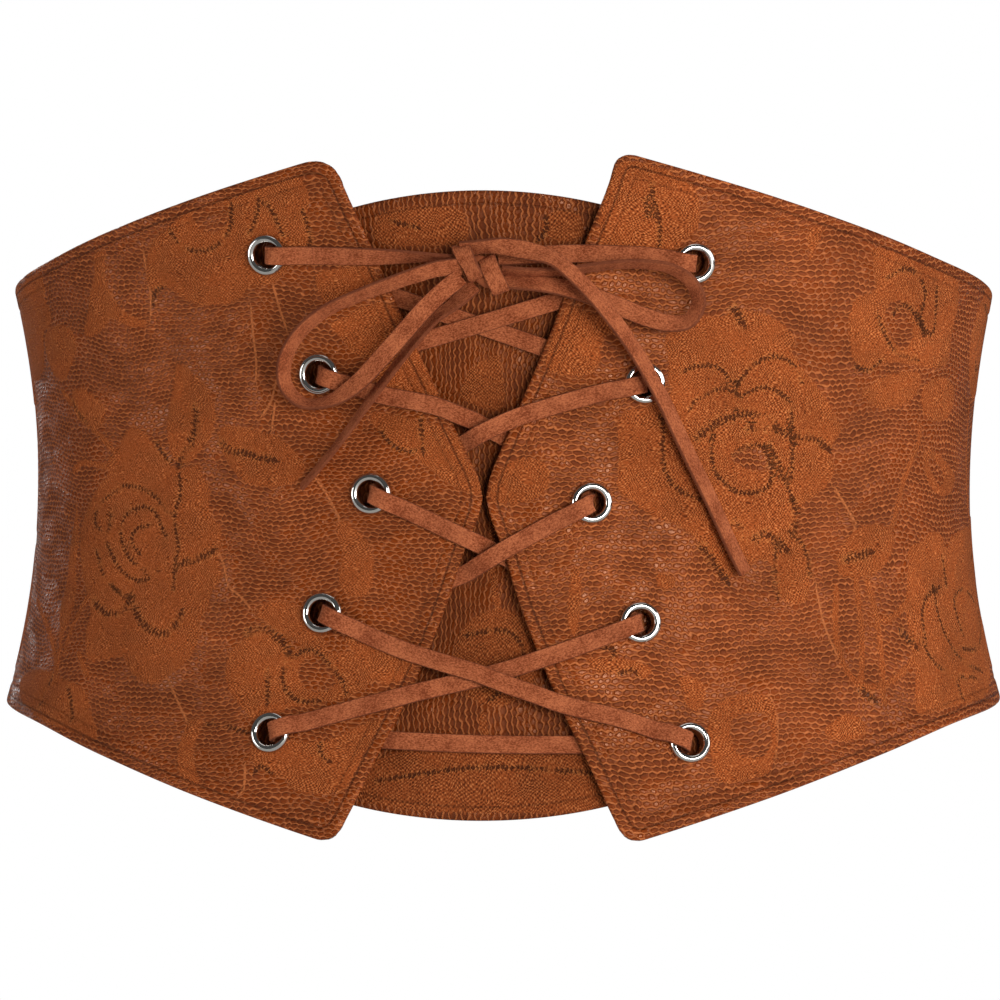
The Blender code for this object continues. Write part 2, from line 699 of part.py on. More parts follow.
def turn_rings(side, row, face, heading):
    """Rings of the lace from inside an eyelet out over its rim, along one heading."""
    frame = eyelet_frame(side, row)
    _, top, _, washer_under = eyelet_heights(side, row)
    clear = RIM_CLEARANCE + LACE_THICK / 2
    if face == "front":
        level, outward, rim = top + clear, 1, EYELET_RADIUS
    else:
        level, outward, rim = washer_under - clear, -1, WASHER_RADIUS
    beyond = [(rim * lie.out, level + lie.rise) for lie in RIM_LIES[face]]
    middle = level - outward * TURN_RADIUS
    across = Vector((heading[0], heading[1], 0.0)).normalized()
    width = frame.to_3x3() @ Vector((0, 0, 1)).cross(across)
    out = frame.to_3x3() @ Vector((0, 0, 1))
    path = []
    for degrees in (30, 60, 90):
        turn = math.radians(degrees)
        path.append((TURN_RADIUS * (1 - math.cos(turn)),
                     middle + outward * TURN_RADIUS * math.sin(turn)))
    path += beyond
    return [(frame @ (across * r + Vector((0, 0, h))), out, width, 0) for r, h in path]


def hole_ring(side, row, width_in, width_out):
    frame = eyelet_frame(side, row)
    _, top, _, washer_under = eyelet_heights(side, row)
    out = frame.to_3x3() @ Vector((0, 0, 1))
    if width_in.dot(width_out) < 0:
        width_out = -width_out
    middle = frame @ Vector((0, 0, (top + washer_under) / 2))
    return (middle, out, (width_in + width_out).normalized(), 0)


def from_knot(offset):
    return KNOT_SHIFT + offset[0], KNOT_HEIGHT + offset[1]


def run_points(run):
    """Control points of a run of lace, as share of the run, s, z, stand and roll."""
    start_at = eyelet_place(*run.start) if run.start else from_knot(LACE_END_LEFT)
    end_at = eyelet_place(*run.end) if run.end else from_knot(LACE_END_RIGHT)
    length = math.dist(start_at, end_at)
    rows = []
    if run.start:
        share, near = TURN_REACH / length, run.points[0]
        rows.append((share, near[1] * share / near[0], NEAR_STAND[run.leaves], 0.0))
    rows += run.points
    if run.end:
        share, near = 1 - TURN_REACH / length, run.points[-1]
        shift = near[1] * (1 - share) / (1 - near[0])
        rows.append((share, shift, NEAR_STAND[run.reaches], 0.0))
    controls = table("share s z stand roll", *(
        (share,
         start_at[0] + (end_at[0] - start_at[0]) * share,
         start_at[1] + (end_at[1] - start_at[1]) * share + shift,
         stand, roll)
        for share, shift, stand, roll in rows
    ))
    return start_at, end_at, length, controls


def run_rings(run):
    start_at, end_at, length, controls = run_points(run)
    first, last = controls[0].share, controls[-1].share
    steps = max(2, round((last - first) * length / LACE_STEP))
    shares = {first + (last - first) * i / steps for i in range(steps + 1)}
    steep = set()
    for before, after in zip(controls, controls[1:]):
        if abs(after.stand - before.stand) > STEEP_STEP:
            steep |= {before.share, after.share} - {first, last}
    for share in sorted(steep):
        nearest = min(shares - steep - {first, last}, key=lambda value: abs(value - share))
        shares.discard(nearest)
        shares.add(share)
    rings = []
    for share in sorted(shares):
        _, s, z, stand, roll = smooth_row(controls, share)
        rings.append((place(s, z, cloth_rise(s, z) + stand), form_normal(s, z), None, roll))
    heading_out = (controls[0].s - start_at[0], controls[0].z - start_at[1])
    heading_in = (controls[-1].s - end_at[0], controls[-1].z - end_at[1])
    return rings, heading_out, heading_in


def lacing(finish):
    """The lace from the knot's left side through all the eyelets to its right side."""
    rings = []
    arrival = None
    for run in LACE_RUNS:
        middle, heading_out, heading_in = run_rings(run)
        if run.start:
            leaving = turn_rings(*run.start, run.leaves, heading_out)
            rings += [hole_ring(*run.start, arrival[-1][2], leaving[0][2])] + leaving
        rings += middle
        if run.end:
            arrival = turn_rings(*run.end, run.reaches, heading_in)[::-1]
            rings += arrival
    return strip("lacing", rings, finish)


def bow_rings(points):
    """Rings of a bow strand, evenly spaced on a smooth curve through its points."""
    rows = []
    length = 0.0
    before = None
    for point in points:
        s, z = from_knot((point.s, point.z))
        here = place(s, z, point.stand)
        if before is not None:
            length += (here - before).length
        before = here
        rows.append((length, s, z, point.stand, point.roll))
    curve = table("length s z stand roll", *rows)
    steps = round(length / BOW_STEP)
    rings = []
    for i in range(steps + 1):
        _, s, z, stand, roll = smooth_row(curve, length * i / steps)
        rings.append((place(s, z, stand), form_normal(s, z), None, roll))
    return rings


def bow_knot(finish):
    """The knot: a leaning, rounded lump that the strands come out of."""
    build = bmesh.new()
    loops = []
    for along, size in KNOT_SECTIONS:
        loop = []
        for i in range(KNOT_SIDES):
            angle = math.tau * i / KNOT_SIDES
            loop.append(build.verts.new((
                along * KNOT_LENGTH / 2,
                size * KNOT_WIDTH / 2 * math.cos(angle),
                size * KNOT_THICK / 2 * math.sin(angle),
            )))
        loops.append(loop)
    for before, after in zip(loops, loops[1:]):
        for j in range(KNOT_SIDES):
            k = (j + 1) % KNOT_SIDES
            build.faces.new((before[j], before[k], after[k], after[j]))
    build.faces.new(loops[0][::-1])
    build.faces.new(loops[-1])
    knot = add_object("bow_knot", build, finish)
    out = form_normal(KNOT_SHIFT, KNOT_HEIGHT)
    x_axis = Vector((1, 0, 0))
    y_axis = out.cross(x_axis)
    frame = Matrix((x_axis, y_axis, out)).transposed().to_4x4()
    frame.translation = place(KNOT_SHIFT, KNOT_HEIGHT, KNOT_STAND)
    knot.matrix_world = frame @ Matrix.Rotation(math.radians(KNOT_LEAN), 4, "Z")
    return knot


def build_belt():
    for old in list(bpy.data.objects):
        bpy.data.objects.remove(old, do_unlink=True)
    lace_leather = material("lace_covered_leather", (0.262, 0.090, 0.034), 0.55)
    elastic = material("elastic_webbing", (0.190, 0.068, 0.030), 0.80)
    suede = material("suede_lace", (0.380, 0.107, 0.045), 0.90)
    nickel = material("polished_nickel", (0.66, 0.65, 0.63), 0.15, 1.0)

    for side in ("left", "right"):
        front_panel(side, lace_leather)
        for row in range(len(EYELET_ROWS)):
            eyelet(side, row, nickel)
    sheet("modesty_panel", modesty_grid(0.0), modesty_grid(-MODESTY_WALL), lace_leather)
    sheet("back_band", band_grid(0.0, True), band_grid(-BAND_WALL, False), elastic)
    lacing(suede)
    bow_knot(suede)
    strip("bow_loop_left", bow_rings(BOW_LOOP_LEFT), suede)
    strip("bow_loop_right", bow_rings(BOW_LOOP_RIGHT), suede)
    strip("lace_tail_left", bow_rings(LACE_TAIL_LEFT), suede)
    strip("lace_tail_right", bow_rings(LACE_TAIL_RIGHT), suede)


build_belt()
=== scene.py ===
import math

import bmesh
import bpy
import numpy as np
from mathutils import Matrix, Vector


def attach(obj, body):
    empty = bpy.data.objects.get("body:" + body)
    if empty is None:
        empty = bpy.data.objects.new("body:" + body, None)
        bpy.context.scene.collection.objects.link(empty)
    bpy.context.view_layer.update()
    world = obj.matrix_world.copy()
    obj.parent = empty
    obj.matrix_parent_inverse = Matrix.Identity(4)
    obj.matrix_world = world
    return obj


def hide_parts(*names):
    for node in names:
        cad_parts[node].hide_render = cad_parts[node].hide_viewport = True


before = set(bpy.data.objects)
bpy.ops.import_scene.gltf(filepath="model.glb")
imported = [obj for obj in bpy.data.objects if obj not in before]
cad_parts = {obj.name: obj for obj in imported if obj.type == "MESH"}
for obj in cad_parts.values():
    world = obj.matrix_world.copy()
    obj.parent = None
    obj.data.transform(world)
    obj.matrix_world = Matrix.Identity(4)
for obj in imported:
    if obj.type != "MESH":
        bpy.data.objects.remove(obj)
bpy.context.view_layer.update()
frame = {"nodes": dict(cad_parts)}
print("corset belt: frame loaded")


# Kinds of node used most often
mathNode = "ShaderNodeMath"
vectorNode = "ShaderNodeVectorMath"
mixNode = "ShaderNodeMix"
rangeNode = "ShaderNodeMapRange"
noiseNode = "ShaderNodeTexNoise"
splitNode = "ShaderNodeSeparateXYZ"
smooth = {"interpolation_type": "SMOOTHSTEP"}


# Turns an sRGB hex colour into linear values
def linearColour(hexValue):
    channels = []
    for start in (0, 2, 4):
        value = int(hexValue[start:start + 2], 16) / 255
        channels.append(value / 12.92 if value <= 0.04045 else ((value + 0.055) / 1.055) ** 2.4)
    return (*channels, 1.0)


# Adds a node; a link's value is a socket, a node whose first output is used, a hex colour
# or a constant
def addNode(tree, kind, links=None, **settings):
    node = tree.nodes.new(kind)
    for name, value in settings.items():
        setattr(node, name, value)
    for socket, value in (links or {}).items():
        value = value.outputs[0] if isinstance(value, bpy.types.Node) else value
        if isinstance(value, bpy.types.NodeSocket):
            tree.links.new(value, node.inputs[socket])
        else:
            value = linearColour(value) if isinstance(value, str) else value
            node.inputs[socket].default_value = value
    return node


def newMaterial(name, roughness, **sockets):
    material = bpy.data.materials.new(name)
    material.use_nodes = True
    shader = material.node_tree.nodes["Principled BSDF"]
    shader.inputs["Roughness"].default_value = roughness
    for socket, value in sockets.items():
        shader.inputs[socket.replace("_", " ")].default_value = value
    return material, material.node_tree, shader


# The worn form. Places on the belt are s, along the waist from the front centre to the
# right as seen from the front, z, up, and d, out from the form
waist = {
    "halfWidth": 0.123,
    "halfDepth": 0.090,
    "sideFlare": {"up": 0.0144, "down": 0.0204},
    "frontFlare": {"up": 0.0075, "down": 0.0105},
    "cornerHeight": 0.0866,
    "panelLength": 0.205,
    "wall": 0.0015,
    "steps": 1440,
    "slopeStep": 0.0004,
}
# along the half waist, upper and lower edge as shares of the corner height
beltEdgeRows = (
    (0.000, 1.110, 1.120),
    (0.095, 1.000, 1.000),
    (0.190, 0.894, 0.878),
    (0.291, 0.782, 0.752),
    (0.380, 0.693, 0.662),
    (0.500, 0.616, 0.606),
    (0.610, 0.566, 0.566),
    (0.800, 0.540, 0.540),
    (1.000, 0.531, 0.531),
)
# height as a share of the corner height, upper and lower opening as shares
frontEdgeRows = (
    (0.00, 0.000, 0.000),
    (0.06, 0.034, 0.041),
    (0.15, 0.138, 0.138),
    (0.30, 0.322, 0.266),
    (0.45, 0.500, 0.415),
    (0.60, 0.656, 0.576),
    (0.75, 0.802, 0.752),
    (0.90, 0.944, 0.900),
    (1.00, 1.000, 1.000),
)
opening = {
    "left": {"up": 0.0333, "down": 0.0316, "roundUp": 0.0085, "roundDown": 0.0045},
    "right": {"up": 0.0307, "down": 0.0316, "roundUp": 0.0045, "roundDown": 0.0045},
    "tipShift": 0.0008,
    "tipGap": 0.0008,
    "tipBlend": 0.006,
    "straightPoints": 160,
    "cornerPoints": 25,
}
# along, height, angle, length, width and rise of each soft fold
folds = {
    "left": (
        (0.036, 0.150, 70, 0.042, 0.038, 0.0170),
        (0.044, -0.250, 110, 0.042, 0.036, 0.0140),
        (0.240, 0.120, 60, 0.100, 0.040, 0.0090),
        (0.330, -0.300, 120, 0.120, 0.045, 0.0100),
        (0.400, 0.350, 75, 0.150, 0.050, -0.0100),
        (0.560, -0.050, 85, 0.220, 0.060, 0.0120),
        (0.800, 0.200, 95, 0.200, 0.070, -0.0120),
    ),
    "right": (
        (0.060, 0.020, 90, 0.050, 0.040, 0.0050),
        (0.230, 0.250, 120, 0.090, 0.036, 0.0080),
        (0.215, -0.260, 60, 0.100, 0.036, 0.0090),
        (0.350, 0.640, 150, 0.110, 0.045, 0.0100),
        (0.330, 0.020, 90, 0.200, 0.045, -0.0090),
        (0.520, -0.200, 105, 0.220, 0.060, 0.0120),
        (0.780, 0.100, 90, 0.200, 0.070, -0.0110),
    ),
}
sideSign = {"left": -1, "right": 1}


def smoothRow(rows, at):
    grid = np.array(rows, dtype=float)
    across, values = grid[:, 0], grid[:, 1:]
    at = np.clip(np.asarray(at, dtype=float), across[0], across[-1])
    last = len(across) - 1
    low = np.clip(np.searchsorted(across, at, side="right") - 1, 0, last - 1)
    before = np.maximum(np.arange(last + 1) - 1, 0)
    after = np.minimum(np.arange(last + 1) + 1, last)
    slopes = (values[after] - values[before]) / (across[after] - across[before])[:, None]
    span = (across[low + 1] - across[low])[..., None]
    t = (at - across[low])[..., None] / span
    return (values[low] * (1 + 2 * t) * (1 - t) ** 2 + values[low + 1] * t * t * (3 - 2 * t)
            + slopes[low] * span * t * (1 - t) ** 2 - slopes[low + 1] * span * t * t * (1 - t))


def smoothStep(value, low=0.0, high=1.0):
    t = np.clip((np.asarray(value, dtype=float) - low) / (high - low), 0, 1)
    return t * t * (3 - 2 * t)


waistAngles = np.linspace(0, math.pi, waist["steps"] + 1)
middles = (waistAngles[1:] + waistAngles[:-1]) / 2
arcSteps = np.hypot(waist["halfWidth"] * np.cos(middles), waist["halfDepth"] * np.sin(middles))
waistLengths = np.concatenate(([0], np.cumsum(arcSteps * math.pi / waist["steps"])))
halfWaist = float(waistLengths[-1])


def formPoint(s, z):
    s, z = np.broadcast_arrays(np.asarray(s, dtype=float), np.asarray(z, dtype=float))
    rise = (z / waist["cornerHeight"]) ** 2
    up = z > 0
    wide = waist["halfWidth"] + np.where(up, *waist["sideFlare"].values()) * rise
    deep = waist["halfDepth"] + np.where(up, *waist["frontFlare"].values()) * rise
    angle = np.sign(s) * np.interp(np.abs(s), waistLengths, waistAngles)
    return np.stack((wide * np.sin(angle), -deep * np.cos(angle), z), axis=-1)


def formNormal(s, z):
    step = waist["slopeStep"]
    around = formPoint(s + step, z) - formPoint(s - step, z)
    up = formPoint(s, z + step) - formPoint(s, z - step)
    out = np.cross(around, up)
    return out / np.linalg.norm(out, axis=-1, keepdims=True)


def place(s, z, d):
    return formPoint(s, z) + formNormal(s, z) * np.asarray(d)[..., None]


def panelRise(side, s, z):
    along = s * sideSign[side]
    total = 0.0
    for share, height, angle, length, width, rise in folds[side]:
        run = along - share * waist["panelLength"]
        up = z - height * waist["cornerHeight"]
        turn = math.radians(angle)
        lengthwise = run * math.cos(turn) + up * math.sin(turn)
        crosswise = up * math.cos(turn) - run * math.sin(turn)
        spread = (lengthwise / (length * waist["panelLength"])) ** 2
        spread = spread + (crosswise / (width * waist["panelLength"])) ** 2
        total = total + rise * waist["cornerHeight"] * np.exp(-spread)
    return total


def clothRise(s, z):
    right = smoothStep((s - opening["tipShift"]) / opening["tipBlend"] + 0.5)
    return panelRise("left", s, z) * (1 - right) + panelRise("right", s, z) * right


def beltEdge(s, way):
    shares = smoothRow(beltEdgeRows, np.abs(s) / halfWaist)
    return shares[..., 0 if way > 0 else 1] * waist["cornerHeight"] * way


def frontEdge(side, z):
    share = np.minimum(np.abs(z) / waist["cornerHeight"], 1.0)
    shares = smoothRow(frontEdgeRows, share)
    half = np.where(z > 0, shares[..., 0] * opening[side]["up"], shares[..., 1] * opening[side]["down"])
    return opening["tipShift"] * (1 - share) + sideSign[side] * (half + opening["tipGap"] / 2)


def lengthsAlong(path):
    return np.concatenate(([0], np.cumsum(np.linalg.norm(np.diff(path, axis=0), axis=1))))


def spaced(path, shares):
    path = np.asarray(path, dtype=float)
    lengths = lengthsAlong(path)
    return np.stack([np.interp(shares * lengths[-1], lengths, path[:, i]) for i in (0, 1)], axis=1)


# A panel's front edge from its lower to its upper long edge, with the rounded corners
def frontOutline(side):
    corner = waist["cornerHeight"]
    halves = []
    for way, key in ((-1, "roundDown"), (1, "roundUp")):
        size = opening[side][key]
        straight = np.linspace(0, corner - size, opening["straightPoints"]) * way
        points = [(float(frontEdge(side, np.array(z))), z) for z in straight]
        start = np.array(points[-1])
        tip = np.array((float(frontEdge(side, np.array(corner * way))), corner * way))
        endS = tip[0] + sideSign[side] * size
        end = np.array((endS, float(beltEdge(np.array(endS), way))))
        for t in np.linspace(0, 1, opening["cornerPoints"])[1:]:
            points.append(tuple((1 - t) ** 2 * start + 2 * t * (1 - t) * tip + t * t * end))
        halves.append(points)
    return halves[0][::-1] + halves[1][1:]


# Signed distance to a path, and the length along it to the nearest place
def pathDistance(points, path):
    nearest = np.full(len(points), 1.0)
    signed = np.full(len(points), 1.0)
    along = np.zeros(len(points))
    reached = 0.0
    for a, b in zip(path[:-1], path[1:]):
        step = b - a
        length = math.hypot(*step)
        if length == 0:
            continue
        away = points - a
        run = np.clip(away @ step / length, 0, length)
        apart = away - run[:, None] * (step / length)
        distance = np.hypot(apart[:, 0], apart[:, 1])
        closer = distance < nearest
        side = np.sign(step[0] * away[:, 1] - step[1] * away[:, 0])
        nearest = np.where(closer, distance, nearest)
        signed = np.where(closer, np.where(side == 0, 1, side) * distance, signed)
        along = np.where(closer, reached + run, along)
        reached += length
    return signed, along


# Share of an edge's rounding at each place, and how far the surface drops there
def roundedEdge(edge, radius, depth, steepest=0.999):
    share = np.clip(1 - edge / radius, 0, 1)
    return share, depth * (1 - np.sqrt(1 - share ** 2 * steepest))


# Turns a mesh that was built up into one that is ready to use
def builtMesh(build, name):
    mesh = bpy.data.meshes.new(name)
    build.to_mesh(mesh)
    build.free()
    return mesh


# Puts a mesh, a lamp or a camera into the scene
def linkData(data, *materials):
    for material in materials:
        data.materials.append(material)
    made = bpy.data.objects.new(data.name, data)
    bpy.context.scene.collection.objects.link(made)
    return made


# A closed wall from an outer and an inner grid, left open where a face isn't kept
def wallPiece(name, outer, inner, materials, keep=None):
    rows, columns = outer.shape[:2]
    if keep is None:
        keep = np.ones((rows - 1, columns - 1), dtype=bool)
    count = rows * columns
    index = np.arange(count).reshape(rows, columns)
    a, b, c, d = index[:-1, :-1], index[:-1, 1:], index[1:, 1:], index[1:, :-1]
    front = np.stack((a, b, c, d), axis=-1)[keep]
    back = np.stack((a, d, c, b), axis=-1)[keep] + count
    padded = np.pad(keep, 1)
    rims = []
    for shift, first, second in (((0, -1), d, a), ((0, 1), b, c), ((-1, 0), a, b), ((1, 0), c, d)):
        beside = padded[1 + shift[0]:rows + shift[0], 1 + shift[1]:columns + shift[1]]
        bare = keep & ~beside
        a, b = second[bare], first[bare]
        rims.append(np.stack((a, b, b + count, a + count), axis=-1))
    rim = np.concatenate(rims)
    faces = np.concatenate((front, rim, back))
    used, faces = np.unique(faces, return_inverse=True)
    faces = faces.reshape(-1, 4)
    points = np.concatenate((outer.reshape(-1, 3), inner.reshape(-1, 3)))[used]
    mesh = bpy.data.meshes.new(name)
    mesh.from_pydata(points.tolist(), [], faces.tolist())
    slots = np.concatenate((np.zeros(len(front) + len(rim)), np.full(len(back), len(materials) - 1)))
    mesh.polygons.foreach_set("material_index", slots.astype(np.int32))
    mesh.polygons.foreach_set("use_smooth", np.ones(len(faces), dtype=bool))
    return linkData(mesh, *materials), used % count


def storeVector(piece, name, vectors):
    made = piece.data.attributes.new(name, "FLOAT_VECTOR", "POINT")
    made.data.foreach_set("vector", np.ascontiguousarray(vectors, dtype=np.float32).ravel())


def addPiece(piece, node):
    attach(piece, "root")
    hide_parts(node)


